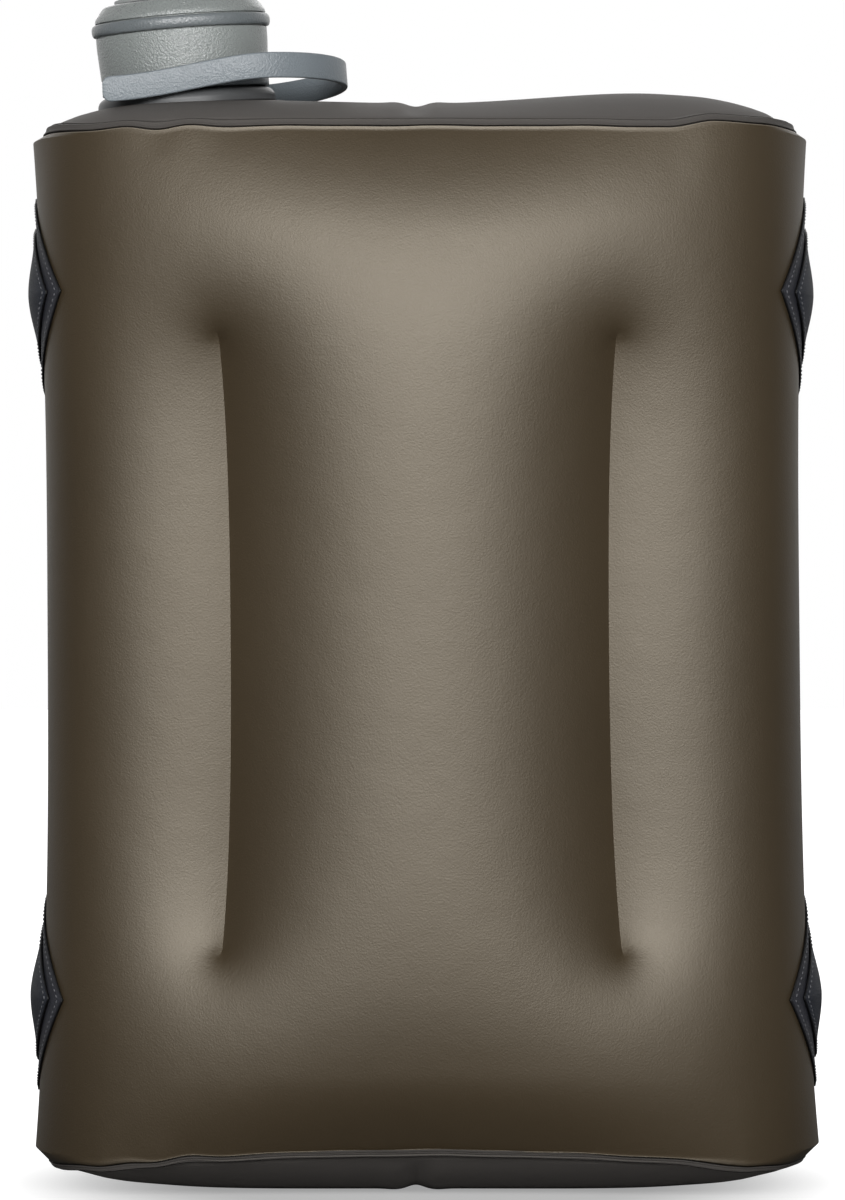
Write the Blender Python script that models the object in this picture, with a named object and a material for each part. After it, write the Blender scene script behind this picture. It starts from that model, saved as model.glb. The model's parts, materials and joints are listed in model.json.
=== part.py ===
"""Collapsible soft water container with a screw cap, a carrying strap and four lash points.

Metres, +Z up. The floor is z = 0, the front of the bag faces -Y, and the origin is the middle of its foot.
The bag is welded from a front and a rear sheet and two end panels. Two inner baffles draw the front and the
rear together, so that each sheet swells into three lobes with a crease between them.
"""

import math

import bmesh
import bpy
import numpy as np
from mathutils import Matrix, Vector

# Film and general clearances
FILM = 0.0012
BAFFLE_FILM = 0.0008
SEAM_GAP = 0.0003
RUNNING_GAP = 0.0004

# Bag, full of water
SEAM_TOP_Z = 0.305
SEAM_BOTTOM_Z = 0.0125
WAIST_Z = 0.170
TOP_HALF_WIDTH = 0.1133
WAIST_HALF_WIDTH = 0.1093
BOTTOM_HALF_WIDTH = 0.1148
FLARE_POWER = 2.7
HALF_DEPTH = 0.062
SEAM_SQUARENESS = 3.2
WAIST_SQUARENESS = 2.65
LEAN_TOP_X = -0.0011
LEAN_BOTTOM_X = 0.0011

# Creases, where the baffles hold the sheets in
CREASE_LEFT_X = -0.0560
CREASE_RIGHT_X = 0.0538
CREASE_LOW_Z = 0.073
CREASE_HIGH_Z = 0.246
CREASE_DEPTH = 0.0082
CREASE_END_DEPTH = 0.0036
CREASE_SLOPE_SPARE = 1.35
CENTRE_SWELL = 0.68
SIDE_SWELL = 0.40
SWELL_FADE = 0.030
SIDE_CALM = 0.045

# End panels
LIP_OUT = 0.0016
LIP_THICK = 0.0012
BAND_HEIGHT = 0.0055
BAND_LEAN = 0.0026
BAND_BEVEL = 0.0006
TOP_CREST_Z = 0.3184
TOP_CREST_RIGHT_Z = 0.3213
CREST_RIGHT_X = 0.075
END_ROUND_POWER = 8.0
DEPTH_ROUND_POWER = 2.6
END_BLUNTNESS = 0.9
DEPTH_BLUNTNESS = 0.8
FOOT_SPARE = 0.0022
FOOT_CENTRE_RADIUS = 0.012

# Spout, along its own leaning axis; heights are measured from its seat on the top panel
SPOUT_FROM_END = 0.0448
SPOUT_BELOW_CREST = 0.0014
SPOUT_SEAT = Vector((LEAN_TOP_X - TOP_HALF_WIDTH + SPOUT_FROM_END, 0.0, TOP_CREST_Z - SPOUT_BELOW_CREST))
SPOUT_AXIS = Vector((-0.0785, -0.0645, 0.9948)).normalized()
SEAT_FLAT_RADIUS = 0.0275
SEAT_BLEND = 0.0095
NECK_BORE_RADIUS = 0.0193
NECK_RADIUS = 0.0210
NECK_SHOULDER_RADIUS = 0.0216
NECK_TOP = 0.0249
NECK_FOOT = 0.0040
NECK_LIP_BEVEL = 0.0006
FLANGE_RADIUS = 0.0262
FLANGE_HEIGHT = 0.0043
FLANGE_FOOT_HEIGHT = 0.0013
FLANGE_ROUND = 0.0034
COLLAR_RADIUS = 0.0246
COLLAR_HEIGHT = 0.0024
STOP_RING_RADIUS = 0.0242
STOP_RING_HEIGHT = 0.0015

# Cap
CAP_RADIUS = 0.0252
CAP_FOOT_RADIUS = 0.0246
CAP_INNER_RADIUS = 0.0229
CAP_BARREL_HEIGHT = 0.0126
CAP_TAPER_HEIGHT = 0.0095
CAP_CEILING_GAP = 0.0026
CAP_GROOVE_DEPTH = 0.0007
CAP_RING_HEIGHT = 0.0041
CAP_RING_PROUD = 0.0011
CAP_RING_ROUND = 0.0008
CAP_RING_ROUND_HEIGHT = 0.0011
CAP_CROWN_HEIGHT = 0.0051
CAP_CROWN_EDGE_HEIGHT = 0.0013
CAP_CROWN_EDGE_DRAFT = 0.0002
CAP_CROWN_TOP_RADIUS = 0.0218
CAP_CROWN_ROUND = 0.0011
DISC_RADIUS = 0.0190
DISC_HEIGHT = 0.0012
DISC_ROUND = 0.0008
SEAL_HEIGHT = 0.0020
SEAL_INNER_RADIUS = 0.0175

# Strap
STRAP_HEIGHT = 0.0074
STRAP_THICK = 0.0019
STRAP_CLEAR_OF_CAP = 0.0008
STRAP_PIVOT_X = -0.0190
STRAP_BEND_X = 0.0147
STRAP_REACH_X = 0.0467
STRAP_TWIST = 0.0036
STRAP_TWIST_SHARE = 0.7
STRAP_END_BLUNTNESS = 0.3
LUG_LENGTH = 0.0056
LUG_HEIGHT = 0.0022
JOINT_BITE = 0.0010
PIVOT_RADIUS = 0.0011
PIVOT_CLEARANCE = 0.0004
PIVOT_DEPTH = 0.0011

# Lash points: a diamond patch on the side with a smaller diamond loop sewn on it
PATCH_UPPER_Z = 0.2605
PATCH_LOWER_Z = 0.0575
PATCH_HALF_HEIGHT = 0.0292
PATCH_HALF_ROUND = 0.0410
PATCH_THICK = 0.0008
PATCH_SEAT = 0.0007
LOOP_HALF_HEIGHT = 0.0180
LOOP_HALF_ROUND = 0.0360
LOOP_THICK = 0.0010
LOOP_BULGE = 0.0019
TIP_SHARE = 0.04

# Fineness of the faceted forms
RING_CROWDING = 1.35
SIDE_CELLS = 9
CENTRE_CELLS = 10
END_CELLS = 4
CREASE_CELLS = 11
RELAX_FINENESS = 4
ROUND_STEPS = 36
PIN_STEPS = 16
STRAP_ARM_STEPS = 8
STRAP_BEND_STEPS = 18
PANEL_STEPS = 40
DOME_RINGS = 6
PATCH_ROWS = 8
PATCH_COLUMNS = 12
LOOP_COLUMNS = 10


def clear_scene():
    for old in list(bpy.data.objects):
        bpy.data.objects.remove(old, do_unlink=True)


def make_material(name, colour, roughness, metallic=0.0):
    material = bpy.data.materials.new(name)
    material.use_nodes = True
    shader = material.node_tree.nodes["Principled BSDF"]
    shader.inputs["Base Color"].default_value = (*colour, 1.0)
    shader.inputs["Roughness"].default_value = roughness
    shader.inputs["Metallic"].default_value = metallic
    material.diffuse_color = (*colour, 1.0)
    return material


def add_object(name, bm, material, parent=None, smooth_angle=35.0):
    """Turns a bmesh into a named object with its own copy of the material."""
    mesh = bpy.data.meshes.new(name)
    bm.to_mesh(mesh)
    bm.free()
    mesh.materials.append(material)
    mesh.shade_smooth()
    mesh.set_sharp_from_angle(angle=math.radians(smooth_angle))
    obj = bpy.data.objects.new(name, mesh)
    bpy.context.scene.collection.objects.link(obj)
    obj.parent = parent
    return obj


def add_thickness(obj, thickness, offset):
    solid = obj.modifiers.new("film", "SOLIDIFY")
    solid.thickness = thickness
    solid.offset = offset
    solid.use_even_offset = True
    solid.use_rim = True
    return solid


def grid_mesh(points):
    """A sheet of quads through rows of points; its faces look along row direction x column direction."""
    bm = bmesh.new()
    rows = [[bm.verts.new(p) for p in row] for row in points]
    for low, high in zip(rows, rows[1:]):
        for i in range(len(low) - 1):
            bm.faces.new((low[i], low[i + 1], high[i + 1], high[i]))
    return bm


def turned(profile, steps=ROUND_STEPS):
    """A closed profile of (radius, height) points turned about Z; points on the axis become poles."""
    bm = bmesh.new()
    verts = [bm.verts.new((radius, 0.0, height)) for radius, height in profile]
    on_axis = [radius == 0.0 for radius, _ in profile]
    edges = []
    for i, vert in enumerate(verts):
        after = (i + 1) % len(verts)
        if not (on_axis[i] and on_axis[after]):
            edges.append(bm.edges.new((vert, verts[after])))
    bmesh.ops.spin(
        bm, geom=verts + edges, cent=(0, 0, 0), axis=(0, 0, 1), angle=2 * math.pi, steps=steps, use_merge=True
    )
    bmesh.ops.remove_doubles(bm, verts=bm.verts, dist=1e-6)
    bmesh.ops.recalc_face_normals(bm, faces=bm.faces)
    return bm


def smooth_share(share):
    """Runs from 0 to 1 with no kink at either end."""
    share = np.clip(share, 0.0, 1.0)
    return share * share * (3.0 - 2.0 * share)


class BagForm:
    """The outer surface of the full bag. A place on it is (arc, z): arc runs round the front from the left
    side line at 0 to the right one at `length`, and a negative arc, or one past the length, is on the rear."""

    def __init__(self):
        turn = np.linspace(0.0, math.pi / 2, 600)
        across = WAIST_HALF_WIDTH * np.cos(turn) ** (2 / WAIST_SQUARENESS)
        out = HALF_DEPTH * np.sin(turn) ** (2 / WAIST_SQUARENESS)
        steps = np.hypot(np.diff(across), np.diff(out))
        self.turn = turn
        self.turn_arc = np.concatenate([[0.0], np.cumsum(steps)])
        self.quarter = float(self.turn_arc[-1])
        self.length = 2 * self.quarter
        self.crease_left = float(np.interp(-CREASE_LEFT_X, across[::-1], self.turn_arc[::-1]))
        self.crease_right = self.length - float(np.interp(CREASE_RIGHT_X, across[::-1], self.turn_arc[::-1]))
        self.arcs = self.spaced_arcs(RELAX_FINENESS * SIDE_CELLS, RELAX_FINENESS * CENTRE_CELLS)
        self.heights = spaced_heights(RELAX_FINENESS)
        self.swell = self.relax()

    def spaced_arcs(self, side_cells, centre_cells):
        """Places round the front with one on each crease."""
        left = np.linspace(0.0, self.crease_left, side_cells + 1)
        centre = np.linspace(self.crease_left, self.crease_right, centre_cells + 1)
        right = np.linspace(self.crease_right, self.length, side_cells + 1)
        return np.concatenate([left, centre[1:], right[1:]])

    def relax(self):
        """How far the film stands out of the plain section: a stretched membrane under pressure, held at the
        seams, calm beside the side lines and drawn in along the two creases. Solved by over-relaxation."""
        arcs, heights = self.arcs, self.heights
        before, after = np.diff(arcs)[:-1, None], np.diff(arcs)[1:, None]
        under, above = np.diff(heights)[None, :-1], np.diff(heights)[None, 1:]
        weight_before = 2 / (before * (before + after))
        weight_after = 2 / (after * (before + after))
        weight_under = 2 / (under * (under + above))
        weight_above = 2 / (above * (under + above))
        total = weight_before + weight_after + weight_under + weight_above
        inside = smooth_share((arcs - self.crease_left) / SWELL_FADE + 0.5)
        inside = inside * smooth_share((self.crease_right - arcs) / SWELL_FADE + 0.5)
        pressure = (SIDE_SWELL + (CENTRE_SWELL - SIDE_SWELL) * inside)[1:-1, None] / HALF_DEPTH
        middle = 0.5 * (CREASE_LOW_Z + CREASE_HIGH_Z)
        along = np.abs(heights - middle) / (0.5 * (CREASE_HIGH_Z - CREASE_LOW_Z))
        held_rows = along <= 1.0 + 1e-6
        held_depth = CREASE_DEPTH + (CREASE_END_DEPTH - CREASE_DEPTH) * along**4
        held = np.zeros((len(arcs), len(heights)), bool)
        for column in (SIDE_CELLS * RELAX_FINENESS, (SIDE_CELLS + CENTRE_CELLS) * RELAX_FINENESS):
            held[column, held_rows] = True
        swell = np.where(held, -held_depth[None, :], 0.0)
        parity = np.add.outer(np.arange(len(arcs)), np.arange(len(heights)))[1:-1, 1:-1] % 2
        free = ~held[1:-1, 1:-1]
        over = 2 / (1 + math.sin(math.pi / max(len(arcs), len(heights))))
        for _ in range(4 * max(len(arcs), len(heights))):
            for colour in (0, 1):
                around = weight_before * swell[:-2, 1:-1] + weight_after * swell[2:, 1:-1]
                around = around + weight_under * swell[1:-1, :-2] + weight_above * swell[1:-1, 2:]
                target = (around + pressure) / total
                change = over * (target - swell[1:-1, 1:-1])
                swell[1:-1, 1:-1] += np.where(free & (parity == colour), change, 0.0)
        from_side = np.minimum(arcs, self.length - arcs)
        return swell * smooth_share(from_side / SIDE_CALM)[:, None]

    def swell_at(self, arc, z):
        column = np.interp(arc, self.arcs, np.arange(len(self.arcs)))
        row = np.interp(z, self.heights, np.arange(len(self.heights)))
        i, k = min(int(column), len(self.arcs) - 2), min(int(row), len(self.heights) - 2)
        u, v = column - i, row - k
        low = (1 - u) * self.swell[i, k] + u * self.swell[i + 1, k]
        high = (1 - u) * self.swell[i, k + 1] + u * self.swell[i + 1, k + 1]
        return (1 - v) * low + v * high

    def point(self, arc, z, out=0.0):
        """The point at this place, moved out of the surface by `out`."""
        rear = 1.0
        if arc < 0.0:
            arc, rear = -arc, -1.0
        elif arc > self.length:
            arc, rear = 2 * self.length - arc, -1.0
        stand_out = out + self.swell_at(arc, z)
        side = -1.0 if arc < self.quarter else 1.0
        turn = float(np.interp(min(arc, self.length - arc), self.turn_arc, self.turn))
        x, y, normal_x, normal_y = section_point(turn, z)
        lean = lean_x(z)
        return Vector((lean + side * (x + normal_x * stand_out), -rear * (y + normal_y * stand_out), z))


def half_width(z):
    if z > WAIST_Z:
        share = (z - WAIST_Z) / (SEAM_TOP_Z - WAIST_Z)
        return WAIST_HALF_WIDTH + (TOP_HALF_WIDTH - WAIST_HALF_WIDTH) * share**FLARE_POWER
    share = (WAIST_Z - z) / (WAIST_Z - SEAM_BOTTOM_Z)
    return WAIST_HALF_WIDTH + (BOTTOM_HALF_WIDTH - WAIST_HALF_WIDTH) * share**FLARE_POWER


def lean_x(z):
    share = (z - SEAM_BOTTOM_Z) / (SEAM_TOP_Z - SEAM_BOTTOM_Z)
    return LEAN_BOTTOM_X + (LEAN_TOP_X - LEAN_BOTTOM_X) * share


def squareness(z):
    share = (z - SEAM_BOTTOM_Z) / (SEAM_TOP_Z - SEAM_BOTTOM_Z)
    return WAIST_SQUARENESS + (SEAM_SQUARENESS - WAIST_SQUARENESS) * (2 * share - 1) ** 2


def section_point(turn, z):
    """A point of the plain section in its first quarter, with its outward normal: turn 0 is the side."""
    wide, power = half_width(z), squareness(z)
    cosine, sine = max(math.cos(turn), 0.0), max(math.sin(turn), 0.0)
    x = wide * cosine ** (2 / power)
    y = HALF_DEPTH * sine ** (2 / power)
    normal = Vector((cosine ** (2 - 2 / power) / wide, sine ** (2 - 2 / power) / HALF_DEPTH)).normalized()
    return x, y, normal.x, normal.y


def spaced_heights(fineness=1):
    """Heights up the bag, with one at each end of the creases."""
    low = np.linspace(SEAM_BOTTOM_Z, CREASE_LOW_Z, fineness * END_CELLS + 1)
    middle = np.linspace(CREASE_LOW_Z, CREASE_HIGH_Z, fineness * CREASE_CELLS + 1)
    high = np.linspace(CREASE_HIGH_Z, SEAM_TOP_Z, fineness * END_CELLS + 1)
    return np.concatenate([low, middle[1:], high[1:]])


def side_film(form, name, material, rear):
    """The front or the rear sheet, from one side line to the other."""
    arcs = list(form.spaced_arcs(SIDE_CELLS, CENTRE_CELLS))
    arcs[0] += SEAM_GAP / 2
    arcs[-1] -= SEAM_GAP / 2
    rows = []
    for z in spaced_heights():
        row = [form.point(arc, z) for arc in arcs]
        if rear:
            row = [Vector((p.x, -p.y, p.z)) for p in reversed(row)]
        rows.append(row)
    obj = add_object(name, grid_mesh(rows), material)
    add_thickness(obj, FILM, -1.0)
    return obj


def seam_strip(form, name, material, side_arc):
    """A strip inside the bag that backs the side line, where the two sheets meet."""
    reach = form.crease_left / SIDE_CELLS
    out = -FILM - SEAM_GAP
    rows = []
    for z in spaced_heights()[1:-1]:
        offsets = (-reach, -SEAM_GAP / 2, SEAM_GAP / 2, reach)
        rows.append([form.point(side_arc + offset, z, out) for offset in offsets])
    obj = add_object(name, grid_mesh(rows), material)
    add_thickness(obj, BAFFLE_FILM, -1.0)
    return obj


def baffle(form, name, material, arc):
    """A film across the inside of the bag, between the creases of the front and the rear."""
    rows = []
    held_in = FILM * CREASE_SLOPE_SPARE + SEAM_GAP
    for z in spaced_heights()[END_CELLS : END_CELLS + CREASE_CELLS + 1]:
        edge = form.point(arc, z, -held_in)
        rows.append([Vector((edge.x, edge.y, z)), Vector((edge.x, 0.0, z)), Vector((edge.x, -edge.y, z))])
    obj = add_object(name, grid_mesh(rows), material)
    add_thickness(obj, BAFFLE_FILM, 0.0)
    return obj


def end_outline(z, grow):
    """The outline of an end panel, `grow` outside the sheet's own edge."""
    power = SEAM_SQUARENESS
    wide = half_width(z) + grow
    deep = HALF_DEPTH + grow
    fine = np.linspace(0.0, 2 * math.pi, 2001)
    xs = wide * np.sign(np.cos(fine)) * np.abs(np.cos(fine)) ** (2 / power)
    ys = deep * np.sign(np.sin(fine)) * np.abs(np.sin(fine)) ** (2 / power)
    length = np.concatenate([[0.0], np.cumsum(np.hypot(np.diff(xs), np.diff(ys)))])
    places = np.linspace(0.0, length[-1], PANEL_STEPS + 1)[:-1]
    return [(lean_x(z) + float(np.interp(s, length, xs)), float(np.interp(s, length, ys))) for s in places]


def dome_share(x, y, z_seam):
    """How far the dome of an end panel has risen here: 0 on its band, 1 in its middle."""
    wide, deep = half_width(z_seam) - BAND_LEAN, HALF_DEPTH - BAND_LEAN
    along = min(1.0, abs(x - lean_x(z_seam)) / wide)
    local_depth = deep * max(1e-6, 1 - along**SEAM_SQUARENESS) ** (1 / SEAM_SQUARENESS)
    across = min(1.0, abs(y) / local_depth)
    return (1 - along**END_ROUND_POWER) ** END_BLUNTNESS * (1 - across**DEPTH_ROUND_POWER) ** DEPTH_BLUNTNESS


def seat_plane_z(x, y):
    lean = SPOUT_AXIS.x * (x - SPOUT_SEAT.x) + SPOUT_AXIS.y * (y - SPOUT_SEAT.y)
    return SPOUT_SEAT.z - lean / SPOUT_AXIS.z


def top_z(x, y):
    """The top panel's outer surface: a dome, with a flat seat for the spout."""
    band_z = SEAM_TOP_Z + SEAM_GAP + BAND_HEIGHT
    rise = float(smooth_share(x / CREST_RIGHT_X))
    crest = TOP_CREST_Z + (TOP_CREST_RIGHT_Z - TOP_CREST_Z) * rise
    dome = band_z + (crest - band_z) * dome_share(x, y, SEAM_TOP_Z)
    from_spout = math.hypot(x - SPOUT_SEAT.x, y - SPOUT_SEAT.y)
    on_seat = float(smooth_share((SEAT_FLAT_RADIUS + SEAT_BLEND - from_spout) / SEAT_BLEND))
    return dome + (seat_plane_z(x, y) - dome) * on_seat


def bottom_z(x, y):
    """The bottom panel's outer surface: a dome pressed flat on the floor."""
    band_z = SEAM_BOTTOM_Z - SEAM_GAP - BAND_HEIGHT
    depth = band_z + FOOT_SPARE
    return max(0.0, band_z - depth * dome_share(x, y, SEAM_BOTTOM_Z))


def end_panel(name, material, z_seam, up, surface_z, hole_centre, hole_radius):
    """An end panel: a lip, a leaning weld band and a dome, drawn in to the spout's hole or a middle point."""
    rim_z = z_seam + up * SEAM_GAP
    profile = [
        (LIP_OUT, rim_z),
        (LIP_OUT, rim_z + up * LIP_THICK),
        (0.0, rim_z + up * (LIP_THICK + BAND_BEVEL)),
        (-BAND_LEAN, rim_z + up * BAND_HEIGHT),
    ]
    bm = bmesh.new()
    rings = []
    for grow, z in profile:
        rings.append([bm.verts.new((x, y, z)) for x, y in end_outline(z_seam, grow)])
    outer = end_outline(z_seam, -BAND_LEAN)
    start = math.atan2(outer[0][1] - hole_centre[1], outer[0][0] - hole_centre[0])
    for ring in range(1, DOME_RINGS + 1):
        inward = (ring / DOME_RINGS) ** RING_CROWDING
        points = []
        for step, (x, y) in enumerate(outer):
            angle = start + 2 * math.pi * step / PANEL_STEPS
            hole_x = hole_centre[0] + hole_radius * math.cos(angle)
            hole_y = hole_centre[1] + hole_radius * math.sin(angle)
            px, py = x + (hole_x - x) * inward, y + (hole_y - y) * inward
            points.append(bm.verts.new((px, py, surface_z(px, py))))
        rings.append(points)
    for low, high in zip(rings, rings[1:]):
        for i in range(PANEL_STEPS):
            after = (i + 1) % PANEL_STEPS
            face = (low[i], low[after], high[after], high[i])
            bm.faces.new(face if up > 0 else face[::-1])
    if hole_centre[0] == 0.0:
        centre = bm.verts.new((0.0, 0.0, surface_z(0.0, 0.0)))
        last = rings[-1]
        for i in range(PANEL_STEPS):
            after = (i + 1) % PANEL_STEPS
            face = (last[i], last[after], centre)
            bm.faces.new(face if up > 0 else face[::-1])
    obj = add_object(name, bm, material)
    add_thickness(obj, FILM, -1.0)
    return obj


def diamond_rows(form, side_arc, middle_z, half_height, half_round, columns, out_at):
    """Rows of points over a diamond on the side of the bag; out_at gives its stand-off by its height and its arc."""
    rows = []
    for v in np.linspace(-1.0, 1.0, PATCH_ROWS + 1):
        half = half_round * max(TIP_SHARE, 1 - abs(v))
        z = middle_z + v * half_height
        across = np.linspace(-1.0, 1.0, columns + 1)
        rows.append([form.point(side_arc + u * half, z, out_at(v, u)) for u in across])
    return rows


def lash_point(form, side, level, side_arc, middle_z, patch_material, loop_material):
    """A diamond patch welded to the bag and a loop that stands off it, widest at the side line."""
    size = (PATCH_HALF_HEIGHT, PATCH_HALF_ROUND, PATCH_COLUMNS)
    rows = diamond_rows(form, side_arc, middle_z, *size, lambda v, u: PATCH_SEAT)
    patch = add_object(f"lash_patch_{side}_{level}", grid_mesh(rows), patch_material)
    add_thickness(patch, PATCH_THICK, 1.0)
    on_patch = PATCH_SEAT + PATCH_THICK + SEAM_GAP

    def loop_out(v, u):
        return on_patch + LOOP_BULGE * math.cos(v * math.pi / 2) ** 2 * (1 - u * u)

    size = (LOOP_HALF_HEIGHT, LOOP_HALF_ROUND, LOOP_COLUMNS)
    rows = diamond_rows(form, side_arc, middle_z, *size, loop_out)
    loop = add_object(f"lash_loop_{side}_{level}", grid_mesh(rows), loop_material)
    add_thickness(loop, LOOP_THICK, 1.0)


def spout_frame():
    """An empty on the spout's axis; its Z is the axis and its XZ plane holds the long side of the bag."""
    up = SPOUT_AXIS
    across = Vector((1.0, 0.0, 0.0))
    across = (across - up * across.dot(up)).normalized()
    turn = Matrix((across, up.cross(across), up)).transposed()
    frame = bpy.data.objects.new("spout_frame", None)
    bpy.context.scene.collection.objects.link(frame)
    frame.matrix_world = Matrix.Translation(SPOUT_SEAT) @ turn.to_4x4()
    return frame


def spout(frame, dark, grey, black):
    """The welded foot, the neck with its mouth, and the black ring that keeps the strap's collar down."""
    flange_low = SEAM_GAP
    bore = NECK_RADIUS + SEAM_GAP
    flange = [(bore, flange_low), (FLANGE_RADIUS, flange_low)]
    for angle in np.linspace(0.0, math.pi / 2, 5):
        inward = FLANGE_ROUND * (1 - math.cos(angle))
        rise = (FLANGE_HEIGHT - FLANGE_FOOT_HEIGHT) * math.sin(angle)
        flange.append((FLANGE_RADIUS - inward, flange_low + FLANGE_FOOT_HEIGHT + rise))
    flange.append((bore, flange_low + FLANGE_HEIGHT))
    add_object("spout_flange", turned(flange), dark, frame)
    collar_low = flange_low + FLANGE_HEIGHT + SEAM_GAP
    stop_low = collar_low + COLLAR_HEIGHT + SEAM_GAP
    neck = [
        (NECK_BORE_RADIUS, -NECK_FOOT),
        (NECK_RADIUS, -NECK_FOOT),
        (NECK_RADIUS, collar_low),
        (NECK_SHOULDER_RADIUS, collar_low),
        (NECK_SHOULDER_RADIUS, stop_low - SEAM_GAP),
        (NECK_RADIUS, stop_low - SEAM_GAP),
        (NECK_RADIUS, NECK_TOP - NECK_LIP_BEVEL),
        (NECK_RADIUS - NECK_LIP_BEVEL, NECK_TOP),
        (NECK_BORE_RADIUS, NECK_TOP),
    ]
    add_object("spout_neck", turned(neck), grey, frame)
    stop_ring = [
        (NECK_RADIUS + SEAM_GAP, stop_low),
        (STOP_RING_RADIUS, stop_low),
        (STOP_RING_RADIUS, stop_low + STOP_RING_HEIGHT),
        (NECK_RADIUS + SEAM_GAP, stop_low + STOP_RING_HEIGHT),
    ]
    add_object("neck_stop_ring", turned(stop_ring), black, frame)
    return collar_low, stop_low + STOP_RING_HEIGHT


def strap_half_span():
    """Half the width between the strap's arms, to the middle of the band."""
    return CAP_RADIUS + CAP_RING_PROUD + SEAM_GAP + STRAP_CLEAR_OF_CAP + STRAP_THICK / 2


def pivot_height(collar_low):
    return collar_low + COLLAR_HEIGHT / 2


def add_cutter(name, bm, parent):
    mesh = bpy.data.meshes.new(name)
    bm.to_mesh(mesh)
    bm.free()
    cutter = bpy.data.objects.new(name, mesh)
    bpy.context.scene.collection.objects.link(cutter)
    cutter.parent = parent
    cutter.hide_render = True
    cutter.display_type = "WIRE"
    return cutter


def add_boolean(obj, cutter, operation):
    boolean = obj.modifiers.new(cutter.name, "BOOLEAN")
    boolean.operation = operation
    boolean.solver = "EXACT"
    boolean.object = cutter


def pin_mesh(radius, start_y, end_y, height):
    """A round pin along Y at the strap's pivot."""
    bm = bmesh.new()
    place = Matrix.Translation((STRAP_PIVOT_X, (start_y + end_y) / 2, height))
    place = place @ Matrix.Rotation(math.pi / 2, 4, "X")
    length = abs(end_y - start_y)
    bmesh.ops.create_cone(
        bm, cap_ends=True, segments=PIN_STEPS, radius1=radius, radius2=radius, depth=length, matrix=place
    )
    return bm


def box_mesh(low, high):
    bm = bmesh.new()
    size = Vector(high) - Vector(low)
    place = Matrix.Translation((Vector(low) + Vector(high)) / 2) @ Matrix.Diagonal((*size, 1.0))
    bmesh.ops.create_cube(bm, size=1.0, matrix=place)
    return bm


def collar(frame, material, collar_low):
    """The ring that turns on the neck, with a lug and a pin for each arm of the strap."""
    inner = NECK_SHOULDER_RADIUS + RUNNING_GAP
    ring = [
        (inner, collar_low),
        (COLLAR_RADIUS, collar_low),
        (COLLAR_RADIUS, collar_low + COLLAR_HEIGHT),
        (inner, collar_low + COLLAR_HEIGHT),
    ]
    obj = add_object("bail_collar", turned(ring), material, frame)
    arm_face = strap_half_span() - STRAP_THICK / 2
    lug_end = arm_face - SEAM_GAP
    lug_start = math.sqrt(COLLAR_RADIUS**2 - STRAP_PIVOT_X**2) - JOINT_BITE
    middle = pivot_height(collar_low)
    for side, word in ((-1, "front"), (1, "rear")):
        near, far = sorted((side * lug_start, side * lug_end))
        lug = box_mesh(
            (STRAP_PIVOT_X - LUG_LENGTH / 2, near, middle - LUG_HEIGHT / 2),
            (STRAP_PIVOT_X + LUG_LENGTH / 2, far, middle + LUG_HEIGHT / 2),
        )
        add_boolean(obj, add_cutter(f"lug_{word}", lug, frame), "UNION")
        pin_end = arm_face + PIVOT_DEPTH - SEAM_GAP
        pin = pin_mesh(PIVOT_RADIUS, side * (lug_end - JOINT_BITE), side * pin_end, middle)
        add_boolean(obj, add_cutter(f"pin_{word}", pin, frame), "UNION")
    return obj


def strap_path(collar_low):
    """The middle line of the strap: the front arm, a half-elliptical bend and the rear arm."""
    span, middle = strap_half_span(), pivot_height(collar_low)
    end_x = STRAP_PIVOT_X - STRAP_HEIGHT / 2
    points = [(x, -span) for x in np.linspace(end_x, STRAP_BEND_X, STRAP_ARM_STEPS + 1)[:-1]]
    bend = STRAP_REACH_X - STRAP_BEND_X
    for angle in np.linspace(-math.pi / 2, math.pi / 2, STRAP_BEND_STEPS + 1):
        points.append((STRAP_BEND_X + bend * math.cos(angle), span * math.sin(angle)))
    points += [(x, span) for x in np.linspace(STRAP_BEND_X, end_x, STRAP_ARM_STEPS + 1)[1:]]
    path = []
    for x, y in points:
        along = (x - STRAP_PIVOT_X) / (STRAP_REACH_X - STRAP_PIVOT_X)
        lift = STRAP_TWIST * float(smooth_share(along / STRAP_TWIST_SHARE)) * (-y / span)
        path.append(Vector((x, y, middle + lift)))
    return path


def strap(frame, material, collar_low):
    """The carrying strap: a flat band on edge, with a blind socket in each arm for the collar's pins."""
    half = STRAP_HEIGHT / 2
    low, high = [], []
    for point in strap_path(collar_low):
        from_pivot = max(0.0, STRAP_PIVOT_X - point.x)
        rounded = math.sqrt(max(half**2 - from_pivot**2, (STRAP_END_BLUNTNESS * half) ** 2))
        low.append(point - Vector((0, 0, rounded)))
        high.append(point + Vector((0, 0, rounded)))
    obj = add_object("bail_hoop", grid_mesh([low, high]), material, frame, smooth_angle=50.0)
    add_thickness(obj, STRAP_THICK, 0.0)
    arm_face = strap_half_span() - STRAP_THICK / 2
    for side, word in ((-1, "front"), (1, "rear")):
        socket = pin_mesh(
            PIVOT_RADIUS + PIVOT_CLEARANCE,
            side * (arm_face - JOINT_BITE),
            side * (arm_face + PIVOT_DEPTH),
            pivot_height(collar_low),
        )
        add_boolean(obj, add_cutter(f"socket_{word}", socket, frame), "DIFFERENCE")
    return obj


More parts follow.
